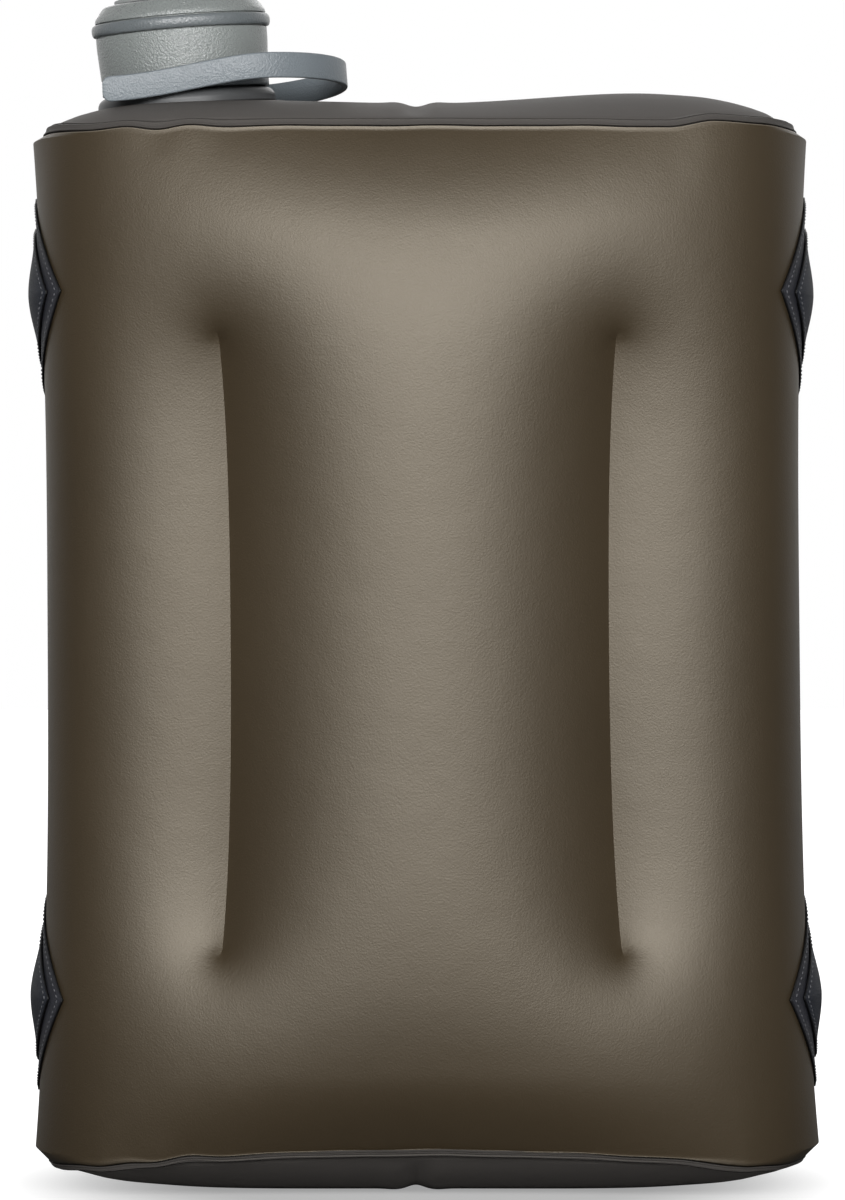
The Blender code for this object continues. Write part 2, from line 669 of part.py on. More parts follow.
def cap(frame, grey, bluish, pale, rubber, neck_low):
    """The screw cap: shell, bead ring in its groove, disc on the crown and seal under the ceiling."""
    foot = neck_low + RUNNING_GAP
    barrel_top = foot + CAP_BARREL_HEIGHT
    groove_radius = CAP_RADIUS - CAP_GROOVE_DEPTH
    groove_top = barrel_top + CAP_RING_HEIGHT
    crown_top = groove_top + CAP_CROWN_HEIGHT
    ceiling = NECK_TOP + CAP_CEILING_GAP
    shell = [
        (CAP_INNER_RADIUS, foot),
        (CAP_FOOT_RADIUS, foot),
        (CAP_RADIUS, foot + CAP_TAPER_HEIGHT),
        (CAP_RADIUS, barrel_top),
        (groove_radius, barrel_top),
        (groove_radius, groove_top),
        (CAP_RADIUS, groove_top),
        (CAP_RADIUS - CAP_CROWN_EDGE_DRAFT, groove_top + CAP_CROWN_EDGE_HEIGHT),
        (CAP_CROWN_TOP_RADIUS + CAP_CROWN_ROUND, crown_top - CAP_CROWN_ROUND),
        (CAP_CROWN_TOP_RADIUS, crown_top - CAP_CROWN_ROUND / 3),
        (CAP_CROWN_TOP_RADIUS - CAP_CROWN_ROUND, crown_top),
        (0.0, crown_top),
        (0.0, ceiling),
        (CAP_INNER_RADIUS, ceiling),
    ]
    add_object("cap_shell", turned(shell), grey, frame)
    ring_inner = groove_radius + SEAM_GAP
    ring_outer = CAP_RADIUS + CAP_RING_PROUD
    ring_low, ring_high = barrel_top + SEAM_GAP, groove_top - SEAM_GAP
    ring = [
        (ring_inner, ring_low),
        (ring_outer - CAP_RING_ROUND, ring_low),
        (ring_outer, ring_low + CAP_RING_ROUND_HEIGHT),
        (ring_outer, ring_high - CAP_RING_ROUND_HEIGHT),
        (ring_outer - CAP_RING_ROUND, ring_high),
        (ring_inner, ring_high),
    ]
    add_object("cap_ring", turned(ring), bluish, frame)
    disc_low = crown_top + SEAM_GAP
    disc = [
        (0.0, disc_low),
        (DISC_RADIUS, disc_low),
        (DISC_RADIUS, disc_low + DISC_HEIGHT / 2),
        (DISC_RADIUS - DISC_ROUND, disc_low + DISC_HEIGHT),
        (0.0, disc_low + DISC_HEIGHT),
    ]
    add_object("cap_top_disc", turned(disc), pale, frame)
    seal_top = ceiling - SEAM_GAP
    seal_outer = CAP_INNER_RADIUS - 2 * SEAM_GAP
    seal = [
        (SEAL_INNER_RADIUS, seal_top - SEAL_HEIGHT),
        (seal_outer, seal_top - SEAL_HEIGHT),
        (seal_outer, seal_top),
        (SEAL_INNER_RADIUS, seal_top),
    ]
    add_object("cap_seal", turned(seal), rubber, frame)


def main():
    clear_scene()
    film = make_material("brown_film", (0.16, 0.13, 0.10), 0.45)
    end_film = make_material("grey_film", (0.10, 0.09, 0.085), 0.5)
    clear_film = make_material("inner_film", (0.22, 0.20, 0.17), 0.4)
    dark = make_material("dark_flange", (0.05, 0.05, 0.055), 0.5)
    grey = make_material("warm_grey_plastic", (0.20, 0.205, 0.205), 0.4)
    pale = make_material("pale_grey_plastic", (0.36, 0.37, 0.37), 0.4)
    bluish = make_material("bluish_plastic", (0.23, 0.26, 0.29), 0.4)
    strap_grey = make_material("strap_plastic", (0.22, 0.255, 0.29), 0.45)
    black = make_material("black_plastic", (0.02, 0.02, 0.02), 0.5)
    rubber = make_material("seal_rubber", (0.30, 0.30, 0.30), 0.6)
    patch_black = make_material("patch_fabric", (0.025, 0.025, 0.03), 0.8)
    loop_black = make_material("loop_fabric", (0.035, 0.036, 0.042), 0.8)

    form = BagForm()
    side_film(form, "front_panel", film, rear=False)
    side_film(form, "rear_panel", film, rear=True)
    seam_strip(form, "side_seam_left", clear_film, 0.0)
    seam_strip(form, "side_seam_right", clear_film, form.length)
    baffle(form, "baffle_left", clear_film, form.crease_left)
    baffle(form, "baffle_right", clear_film, form.crease_right)
    hole = (SPOUT_SEAT.x, SPOUT_SEAT.y)
    end_panel("top_panel", end_film, SEAM_TOP_Z, 1, top_z, hole, NECK_RADIUS + 2 * SEAM_GAP)
    end_panel("bottom_panel", end_film, SEAM_BOTTOM_Z, -1, bottom_z, (0.0, 0.0), FOOT_CENTRE_RADIUS)
    for side, side_arc in (("left", 0.0), ("right", form.length)):
        for level, middle_z in (("upper", PATCH_UPPER_Z), ("lower", PATCH_LOWER_Z)):
            lash_point(form, side, level, side_arc, middle_z, patch_black, loop_black)

    frame = spout_frame()
    collar_low, neck_low = spout(frame, dark, pale, black)
    collar(frame, strap_grey, collar_low)
    strap(frame, strap_grey, collar_low)
    cap(frame, grey, bluish, pale, rubber, neck_low)


main()
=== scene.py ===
"""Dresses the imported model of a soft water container: a welded film bag with inner baffles, a leaning spout with
its screw cap, a carrying strap and four lash points. All places are metres in the model's own frame."""

import json
import math
from contextlib import contextmanager

import bmesh
import bpy
import numpy as np
from mathutils import Matrix, Vector


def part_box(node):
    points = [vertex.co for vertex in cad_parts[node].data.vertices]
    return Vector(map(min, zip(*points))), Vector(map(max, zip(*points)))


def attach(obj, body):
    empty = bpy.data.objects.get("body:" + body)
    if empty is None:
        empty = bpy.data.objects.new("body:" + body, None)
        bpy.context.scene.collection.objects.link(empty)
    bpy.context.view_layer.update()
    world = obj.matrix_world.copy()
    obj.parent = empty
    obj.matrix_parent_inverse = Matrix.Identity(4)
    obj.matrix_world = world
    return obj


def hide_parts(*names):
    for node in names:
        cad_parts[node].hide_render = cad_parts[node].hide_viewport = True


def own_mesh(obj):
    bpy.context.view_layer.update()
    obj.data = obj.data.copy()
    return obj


bl_info = {
    "name": "Soft Water Container",
    "version": (1, 0, 0),
    "blender": (4, 5, 0),
    "location": "View3D > Sidebar > Container",
    "description": "Builds the film bag, cap, strap and lash points of a soft water container",
    "category": "Object",
}

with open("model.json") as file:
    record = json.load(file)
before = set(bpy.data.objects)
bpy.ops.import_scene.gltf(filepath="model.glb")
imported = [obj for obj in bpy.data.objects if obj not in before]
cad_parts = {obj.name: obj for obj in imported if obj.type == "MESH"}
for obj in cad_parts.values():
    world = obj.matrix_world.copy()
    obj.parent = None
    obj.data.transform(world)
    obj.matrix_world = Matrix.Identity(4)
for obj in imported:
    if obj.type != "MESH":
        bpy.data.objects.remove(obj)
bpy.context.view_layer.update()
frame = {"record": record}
JOINTS = {joint["name"]: joint for joint in frame["record"]["behaviour"]["joints"]}

# Film bag, with the same driving sizes as the solids. The baffles' wave is its depth and its pitch, and the side
# strips' share is their reach on either side of the line, as a part of the way to the creases.
FILM = 0.0012
INNER_FILM = 0.0008
BAFFLE_WAVE = (0.0012, 0.012)
STRIP_SHARE = 1 / 9
STRIP_SPARE = 0.0001
SEAM_GAP = 0.0003
RUNNING_GAP = 0.0004
SEAM_TOP_Z = 0.305
SEAM_BOTTOM_Z = 0.0125
WAIST_Z = 0.170
TOP_HALF_WIDTH = 0.1133
WAIST_HALF_WIDTH = 0.1093
BOTTOM_HALF_WIDTH = 0.1148
FLARE_POWER = 2.7
HALF_DEPTH = 0.062
SEAM_SQUARENESS = 2.95
WAIST_SQUARENESS = 2.65
LEAN_TOP_X = -0.0011
LEAN_BOTTOM_X = 0.0011
CREASE_LEFT_X = -0.0560
CREASE_RIGHT_X = 0.0538
CREASE_LOW_Z = 0.073
CREASE_HIGH_Z = 0.246
CREASE_END_SHARE = 0.44
CREASE_SLOPE_SPARE = 1.35
SWELL_FADE = 0.030
SIDE_CALM = 0.045
WAIST_SWELL = 0.0022
WAIST_SWELL_Z = 0.155
WAIST_SWELL_REACH = 0.125

# The seams' path: the top one steps up on the right, the bottom one is arched, both are drawn in at the middle
SEAM_RISE = 0.0021
SEAM_STEP_X = 0.0690
SEAM_STEP_WIDTH = 0.0140
SEAM_STEP_FADE = 0.6
SEAM_RISE_REACH = 0.030
CORNER_LIFT = 0.0013
CORNER_LIFT_X = 0.100
CORNER_LIFT_WIDTH = 0.012
SEAM_ARCH = 0.0040
SEAM_ARCH_HALF_WIDTH = 0.092
SEAM_ARCH_REACH = 0.055
BOTTOM_DRAW = 0.100
BOTTOM_DRAW_REACH = 0.024
TOP_DRAW = 0.045
TOP_DRAW_REACH = 0.030

# The weld's waves, with a dip in front of the spout
DIP_X = -0.0755
DIP_DEPTH = 0.0007
DIP_PITCH = 0.0034
DIP_REACH = 0.0150
DIP_FRONT = 0.03
WAVE_HEIGHT = 0.00010
WAVE_PITCH = 0.0062
RIPPLE_PITCH = 0.0035
RIPPLE_SLANT = 0.005
WAVE_REACH = 0.010
SEAM_ROW = 0.0007

# End panels. A turn is how far the sheets' edge goes in at the ends, and on past the seam: everywhere, more
# beside the ends, more at the ends. A band is its height, and how much more it has at the ends.
CORNER_START = 0.096
CORNER_REACH = 0.018
SAG_START = 0.072
SAG_REACH = 0.016
TOP_TURN = (0.0027, 0.0008, 0.0, 0.0008)
BOTTOM_TURN = (0.0036, 0.0003, 0.0013, 0.0019)
TOP_BAND = (0.0022, 0.0008)
BOTTOM_BAND = (0.0018, 0.0)
BAND_LEAN = 0.0022
TOP_CREST_Z = 0.3175
TOP_CREST_RIGHT_Z = 0.3215
TOP_LEFT_FULLNESS = 1.6
TOP_LEFT_REACH = 0.060
CREST_RIGHT_X = 0.075
END_ROUND_POWER = 6.0
DEPTH_ROUND_POWER = 2.0
END_BLUNTNESS = 0.9
FOOT_SPARE = 0.0008
FOOT_CENTRE_RADIUS = 0.0004
PINCH_X = -0.0022
PINCH_HALF_WIDTH = 0.0030
PINCH_LIP = (2.1, 0.25)
PINCH_FADE = 0.5
DOME_START = 0.05

# Spout and cap; heights run up the spout's own axis from its seat
SPOUT_SEAT = Vector(JOINTS["cap_turn"]["pos_m"])
SPOUT_AXIS = Vector(JOINTS["cap_turn"]["axis"]).normalized()
SEAT_FLAT_RADIUS = 0.0275
SEAT_BLEND = 0.0095
ROLL_RADIUS = 0.0268
ROLL_BLEND = 0.0022
ROLL_HEIGHT = 0.0018
NECK_BORE_RADIUS = 0.0193
NECK_RADIUS = 0.0210
NECK_SHOULDER_RADIUS = 0.0216
NECK_TOP = 0.0249
NECK_FOOT = 0.0040
FLANGE_RADIUS = 0.0262
FLANGE_HEIGHT = 0.0043
FLANGE_FOOT_HEIGHT = 0.0013
FLANGE_ROUND = 0.0034
COLLAR_RADIUS = 0.0246
COLLAR_HEIGHT = 0.0024
COLLAR_LOW = SEAM_GAP + FLANGE_HEIGHT + SEAM_GAP
STOP_RING_RADIUS = 0.0242
STOP_RING_HEIGHT = 0.0015
STOP_RING_LOW = COLLAR_LOW + COLLAR_HEIGHT + SEAM_GAP
CAP_RADIUS = 0.0252
CAP_FOOT_RADIUS = 0.0246
CAP_INNER_RADIUS = 0.0229
CAP_FOOT = STOP_RING_LOW + STOP_RING_HEIGHT + RUNNING_GAP
CAP_TAPER_TOP = CAP_FOOT + 0.0095
CAP_BARREL_TOP = CAP_FOOT + 0.0126
CAP_GROOVE_RADIUS = CAP_RADIUS - 0.0007
CAP_GROOVE_TOP = CAP_BARREL_TOP + 0.0041
CAP_RING_RADIUS = CAP_RADIUS + 0.0011
CAP_RING_BULGE = 0.0010
CAP_CROWN_TOP = CAP_GROOVE_TOP + 0.0051
CAP_CROWN_TOP_RADIUS = 0.0218
CAP_CEILING = NECK_TOP + 0.0026
DISC_RADIUS = 0.0190
DISC_HEIGHT = 0.0012
DISC_ROUND = 0.0008
SEAL_HEIGHT = 0.0020
SEAL_INNER_RADIUS = 0.0175
EDGE_ROUND = 0.00035
THREAD_STARTS = 2
THREAD_TURNS = 1.1
NECK_THREAD_LOW = 0.0122
CAP_THREAD_LOW = 0.0142

# Strap
STRAP_HALF_HEIGHT = 0.0037
STRAP_THICK = 0.0019
STRAP_CLEAR_OF_CAP = 0.0008
STRAP_HALF_SPAN = CAP_RING_RADIUS + SEAM_GAP + STRAP_CLEAR_OF_CAP + STRAP_THICK / 2
STRAP_PIVOT_X = -0.0190
STRAP_BEND_X = 0.0147
STRAP_REACH_X = 0.0467
STRAP_TWIST = 0.0036
STRAP_TWIST_SHARE = 0.7
STRAP_CORNER = 0.0005
STRAP_END_POWER = 3.5
STRAP_END_LEAST = 0.0001
PIVOT_HEIGHT = COLLAR_LOW + COLLAR_HEIGHT / 2
PIVOT_RADIUS = 0.0011
PIVOT_CLEARANCE = 0.0004
PIVOT_DEPTH = 0.0011
LUG_LENGTH = 0.0056
LUG_HEIGHT = 0.0022
JOINT_BITE = 0.0010

# Lash points
PATCH_UPPER_Z = 0.2605
PATCH_LOWER_Z = 0.0575
PATCH_HALF_HEIGHT = 0.0292
PATCH_HALF_ROUND = 0.0403
PATCH_LOW = 0.0002
PATCH_THICK = 0.0005
PATCH_HEM = (0.0005, 0.0004)
PATCH_STITCH_INSET = 0.0024
LOOP_HALF_HEIGHT = 0.0205
LOOP_HALF_ROUND = 0.0335
LOOP_LOW = PATCH_LOW + PATCH_THICK + 0.0002
LOOP_THICK = 0.0006
LOOP_BULGE = 0.0030
LOOP_HEM = (0.0004, 0.0003)
LOOP_STITCH_INSET = 0.0019
TIP_SHARE = 0.14
LASH_FULLNESS = 0.47
STITCH_SHARE = 0.93
STITCH_LIFT = 0.00006

# The part of the bag's depth that is kept at full press, when the bag is emptied
PRESS_TRAVEL = JOINTS["front_press"]["range_m"][1]
CREST_DEPTH = -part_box("front_panel")[0][1]
PRESS_KEEP = 1 - PRESS_TRAVEL / CREST_DEPTH

# Finishes. A moulding's are its roughness, the width and height of its spark grain, and its specular level.
FILM_IOR = 1.62
FILM_TINT = (1.0, 0.915, 0.775, 1.0)
FILM_ROUGHNESS = 0.53
END_ROUGHNESS = 0.66
END_SPECULAR = 0.2
INNER_ROUGHNESS = 0.4
# How dark the welds are; at full weld the same darkening paints shade under the sheets' edges and in the bands'
# grooves.
WELD_AND_SHADE_TONE = 0.55
MOULDINGS = {
    "dark_moulding": (0.42, 0.00045, 0.00002, 0.5),
    "pale_moulding": (0.36, 0.00045, 0.000015, 0.5),
    "black_moulding": (0.40, 0.00045, 0.00002, 0.5),
    "cap_moulding": (0.29, 0.00052, 0.00024, 1.0),
    "bead_moulding": (0.30, 0.00052, 0.00014, 0.9),
    "disc_moulding": (0.42, 0.0006, 0.00003, 0.5),
    "strap_moulding": (0.36, 0.00052, 0.00014, 0.6),
}
SEAL_COLOUR = (0.36, 0.37, 0.37)

# Studio: the photograph's camera, each lamp's place and size, and the floor. The floor glow is what the floor
# shows the camera near the object, and how much more it shows far off; the lower glow near the object is painted
# shade round it, in an ellipse of the near half sizes that fades out over the fade's span.
CAMERA_PLACE = (-0.0003, -1.390, 0.172)
CAMERA_LENS = 141.4
CAMERA_SENSOR = 36.0
KEY_LAMP = ((0.0, -1.60, 0.60), (1.8, 0.3))
REAR_LAMP = ((0.0, 1.6, 0.9), (1.2, 0.5))
LAMP_TARGET = Vector((0.0, 0.0, 0.17))
FLOOR_HALF = 6.0
FLOOR_GLOSS_SHARE = 0.2
FLOOR_MATT_SHARE = 1.3
SHADE_POOL_HALF_SIZE = (0.100, 0.090)
SHADE_POOL_FADE = (0.6, 1.7)
FLOOR_GLOW_AND_SHADE = (0.34, 0.90)
WHITE = (1.0, 1.0, 1.0, 1.0)

# Fineness
SIDE_CELLS = 50
CENTRE_CELLS = 64
END_CELLS = 30
CREASE_CELLS = 96
ROUND_STEPS = 144
PANEL_STEPS = 288
DOME_RINGS = 84
DOME_RING_POWER = 1.35
CORNER_STEPS = 4


class Graph:
    """A node tree that is written as a list of nodes: settings first, then values or links of the sockets."""

    def __init__(self, tree):
        self.tree = tree

    def node(self, kind, settings=None, sockets=None, output=0):
        made = self.tree.nodes.new(kind)
        for key, value in (settings or {}).items():
            setattr(made, key, value)
        for key, value in (sockets or {}).items():
            if isinstance(value, Wire):
                self.tree.links.new(value.socket, made.inputs[key])
            else:
                made.inputs[key].default_value = value
        return Wire(self, made.outputs[output]) if made.outputs else None

    def outputs(self, kind, settings=None, sockets=None):
        """A new node's outputs by their names."""
        made = self.node(kind, settings, sockets).socket.node
        return {socket.name: Wire(self, socket) for socket in made.outputs}


class Wire:
    """A socket's output that takes part in arithmetic: an expression on it adds its Math nodes."""

    def __init__(self, graph, socket):
        self.graph, self.socket = graph, socket

    def math(self, operation, *values):
        return self.graph.node("ShaderNodeMath", {"operation": operation}, dict(enumerate(values)))

    def __add__(self, other):
        return self.math("ADD", self, other)

    def __sub__(self, other):
        return self.math("SUBTRACT", self, other)

    def __rsub__(self, other):
        return self.math("SUBTRACT", other, self)

    def __mul__(self, other):
        return self.math("MULTIPLY", self, other)

    def __truediv__(self, other):
        return self.math("DIVIDE", self, other)

    def __pow__(self, other):
        return self.math("POWER", self, other)

    __radd__ = __add__
    __rmul__ = __mul__

    def ramp(self, low, high, start=0.0, end=1.0):
        """Maps low..high to start..end without a kink."""
        sockets = {"Value": self, "From Min": low, "From Max": high, "To Min": start, "To Max": end}
        return self.graph.node("ShaderNodeMapRange", {"interpolation_type": "SMOOTHSTEP"}, sockets)


class Finish(Graph):
    """A surface finish: one Principled shader and the nodes that vary it."""

    def __init__(self, name, roughness, specular, constants=None):
        self.material = bpy.data.materials.new(name)
        self.material.use_nodes = True
        super().__init__(self.material.node_tree)
        self.shader = self.tree.nodes["Principled BSDF"]
        for key, value in {"Roughness": roughness, "Specular IOR Level": specular, **(constants or {})}.items():
            self.shader.inputs[key].default_value = value
        self.place = self.node("ShaderNodeTexCoord", output="Object")

    def noise(self, scale, detail=2.0, roughness=0.5):
        sockets = {"Vector": self.place, "Scale": scale, "Detail": detail, "Roughness": roughness}
        return self.node("ShaderNodeTexNoise", None, sockets)

    def cells(self, scale):
        return self.node("ShaderNodeTexVoronoi", None, {"Vector": self.place, "Scale": scale})

    def attribute(self, name):
        return self.node("ShaderNodeAttribute", {"attribute_name": name}, output="Fac")

    def mix(self, share, low, high):
        return self.node("ShaderNodeMix", {"data_type": "RGBA"}, {0: share, 6: low, 7: high}, output=2)

    def clouded(self, scale, colour, darker, lighter):
        """Faint clouds, and the colour as it runs from darker to lighter in them."""
        clouds = self.noise(scale, 3.0)
        return clouds, self.mix(clouds.ramp(0.3, 0.7), shade(colour, darker), shade(colour, lighter))

    def bump(self, height, distance, under=None):
        sockets = {"Height": height, "Distance": distance} | ({"Normal": under} if under else {})
        return self.node("ShaderNodeBump", None, sockets)

    def feed(self, **wires):
        """Links the shader's sockets, and gives the finished material."""
        for key, wire in wires.items():
            self.tree.links.new(wire.socket, self.shader.inputs[key.replace("_", " ")])
        return self.material


def shade(colour, factor=1.0):
    """An RGBA colour, darker or lighter by a factor."""
    return tuple(min(1.0, channel * factor) for channel in colour[:3]) + (1.0,)


def film_finish(name, colour, cut_edge_and_highlight_colour, roughness, settings, specular=1.0):
    """Matt welded film: a fine pebble grain, faint clouds in its tone, darker welds with painted shade lines, and a
    paler edge: cut edge and painted highlight.
    """
    finish = Finish(name, roughness, specular, {"IOR": FILM_IOR, "Specular Tint": FILM_TINT})
    clouds, tone = finish.clouded(11.0, colour, 0.94, 1.07)
    grain = finish.noise(1 / settings.grain_size, 1.5, 0.6)
    weld = finish.attribute("weld")
    tone = finish.mix(grain.ramp(0.35, 0.75) * 0.35, tone, shade(colour, 1.30))
    # The weld attribute darkens the welds; where it is full it paints the shade under the sheets' edges and in the
    # bands' grooves.
    tone = finish.mix(weld, tone, shade(colour, WELD_AND_SHADE_TONE))
    pebbles = finish.bump(grain + 0.6 * finish.cells(0.62 / settings.grain_size), settings.grain_height)
    # The edge attribute gives the sheets' top edge a pale colour: partly its cut edge, partly a painted highlight.
    return finish.feed(
        Base_Color=finish.mix(finish.attribute("edge"), tone, shade(cut_edge_and_highlight_colour)),
        Roughness=roughness + 0.05 * (clouds - 0.5) + 0.10 * (grain - 0.5) - 0.08 * weld,
        Normal=finish.bump(finish.noise(60.0), 0.00016, pebbles),
    )


def moulded_finish(name, colour):
    """Moulded plastic with a spark-eroded grain, faint flow clouds and paler spots that follow the spark grain."""
    roughness, spark_size, spark_height, specular = MOULDINGS[name]
    finish = Finish(name, roughness, specular)
    clouds, tone = finish.clouded(45.0, colour, 0.95, 1.05)
    sparks = finish.noise(1 / spark_size, roughness=0.65)
    return finish.feed(
        Base_Color=finish.mix(sparks.ramp(0.4, 0.8) * 0.3, tone, shade(colour, 1.25)),
        Roughness=roughness + 0.16 * (sparks - 0.5) + 0.05 * (clouds - 0.5),
        Normal=finish.bump(sparks + 0.5 * finish.cells(0.8 / spark_size), spark_height),
    )


def woven_finish(name, colour, settings):
    """Coated close weave for the lash points: it follows the piece's own UV map, in metres."""
    finish = Finish(name, 0.66, 0.3)
    uv = finish.outputs("ShaderNodeSeparateXYZ", None, {0: finish.node("ShaderNodeUVMap", {"uv_map": "cloth"})})
    turns = 2 * math.pi / settings.weave_pitch
    weft, warp = (uv[axis].math("SINE", uv[axis] * turns) for axis in "XY")
    weave = weft * warp
    fuzz = finish.noise(2600.0)
    edge = finish.attribute("edge")
    _, tone = finish.clouded(90.0, colour, 0.86, 1.14)
    tone = finish.mix(weave.ramp(-0.2, 1.0) * 0.45 + fuzz.ramp(0.55, 0.8) * 0.35, tone, shade(colour, 1.7))
    return finish.feed(
        Base_Color=finish.mix(edge, tone, shade(settings.outline_colour)),
        Roughness=0.60 + 0.15 * (fuzz - 0.5) - 0.12 * edge,
        Normal=finish.bump(weave + 1.2 * fuzz, 0.00005),
    )


def thread_finish(name, colour):
    """Twisted sewing thread."""
    finish = Finish(name, 0.6, 0.35)
    twist = finish.noise(3500.0, 1.0)
    tone = finish.mix(twist, shade(colour, 0.6), shade(colour, 1.4))
    return finish.feed(Base_Color=tone, Normal=finish.bump(twist, 0.00004))


def soft_rubber_finish(name, colour):
    """Smooth silicone with a faint dusty bloom."""
    finish = Finish(name, 0.5, 0.4)
    bloom = finish.noise(300.0, 4.0)
    tone = finish.mix(bloom.ramp(0.4, 0.7), shade(colour), shade(colour, 1.15))
    return finish.feed(Base_Color=tone, Roughness=0.45 + 0.2 * bloom, Normal=finish.bump(bloom, 0.00003))


def smooth_share(share):
    """Runs from 0 to 1 with no kink at either end."""
    share = np.clip(share, 0.0, 1.0)
    return share * share * (3.0 - 2.0 * share)


def height_share(z):
    """0 at the bottom seam and 1 at the top seam."""
    return (z - SEAM_BOTTOM_Z) / (SEAM_TOP_Z - SEAM_BOTTOM_Z)


def half_width(z):
    upper = np.clip((z - WAIST_Z) / (SEAM_TOP_Z - WAIST_Z), 0.0, None) ** FLARE_POWER
    lower = np.clip((WAIST_Z - z) / (WAIST_Z - SEAM_BOTTOM_Z), 0.0, None) ** FLARE_POWER
    wide = WAIST_HALF_WIDTH + (TOP_HALF_WIDTH - WAIST_HALF_WIDTH) * upper
    return wide + (BOTTOM_HALF_WIDTH - WAIST_HALF_WIDTH) * lower


def lean_x(z):
    return LEAN_BOTTOM_X + (LEAN_TOP_X - LEAN_BOTTOM_X) * height_share(z)


def squareness(z):
    return WAIST_SQUARENESS + (SEAM_SQUARENESS - WAIST_SQUARENESS) * (2 * height_share(z) - 1) ** 2


def corner_share(x):
    """1 at the two ends of the bag and 0 along its front and rear."""
    return smooth_share((np.abs(x) - CORNER_START) / CORNER_REACH)


def middle_share(x):
    """1 in the middle of the bag's width and 0 near its ends."""
    return np.clip(1 - (x / SEAM_ARCH_HALF_WIDTH) ** 2, 0.0, None)


def seam_shift(x, z):
    """How far the film is lifted here: the top seam rises to the right, and the bottom seam is arched."""
    high = smooth_share((z - SEAM_TOP_Z + SEAM_RISE_REACH) / SEAM_RISE_REACH)
    step = smooth_share((x - SEAM_STEP_X) / SEAM_STEP_WIDTH)
    rise = SEAM_RISE * high * step * (1 - SEAM_STEP_FADE * corner_share(x))
    arch = SEAM_ARCH * middle_share(x) + CORNER_LIFT * smooth_share((x - CORNER_LIFT_X) / CORNER_LIFT_WIDTH)
    return rise + arch * smooth_share((SEAM_BOTTOM_Z + SEAM_ARCH_REACH - z) / SEAM_ARCH_REACH)


def seam_draw(x, z):
    """The share by which front and rear are drawn together here, by the middle of the bottom and the top seam."""
    low = np.clip(1 - (z - SEAM_BOTTOM_Z) / BOTTOM_DRAW_REACH, 0.0, 1.0) ** 2
    high = np.clip(1 - (SEAM_TOP_Z - z) / TOP_DRAW_REACH, 0.0, 1.0) ** 2
    return middle_share(x) * (BOTTOM_DRAW * low + TOP_DRAW * high)


def seam_turn(x, up):
    """How far inwards, and how far on past the seam, the sheets' edges are turned over an end panel here."""
    inward, plain, sag, onward = TOP_TURN if up > 0 else BOTTOM_TURN
    corner = corner_share(x)
    return inward * corner, plain + sag * smooth_share((np.abs(x) - SAG_START) / SAG_REACH) + onward * corner


def band_height(x, up):
    front, more = TOP_BAND if up > 0 else BOTTOM_BAND
    return front + more * corner_share(x)


def weld_wave(x, y):
    """The slight waviness of the weld, with a deeper wave in front of the spout."""
    from_dip = x - DIP_X
    dip = -DIP_DEPTH * np.cos(from_dip / DIP_PITCH) * np.exp(-((from_dip / DIP_REACH) ** 2))
    ripple = np.sin(x / WAVE_PITCH + 0.9) + 0.6 * np.sin(x / RIPPLE_PITCH + y / RIPPLE_SLANT)
    return dip * smooth_share(-y / DIP_FRONT) + WAVE_HEIGHT * ripple


def graded(stops, cells):
    """Places from stop to stop, with each stretch cut into its number of cells."""
    parts = [np.linspace(low, high, count + 1)[1:] for low, high, count in zip(stops, stops[1:], cells)]
    return np.concatenate([stops[:1], *parts])


def neighbour_weights(places):
    """What a second difference takes of the places before and after each inner one."""
    before, after = np.diff(places)[:-1], np.diff(places)[1:]
    return 2 / (before * (before + after)), 2 / (after * (before + after))


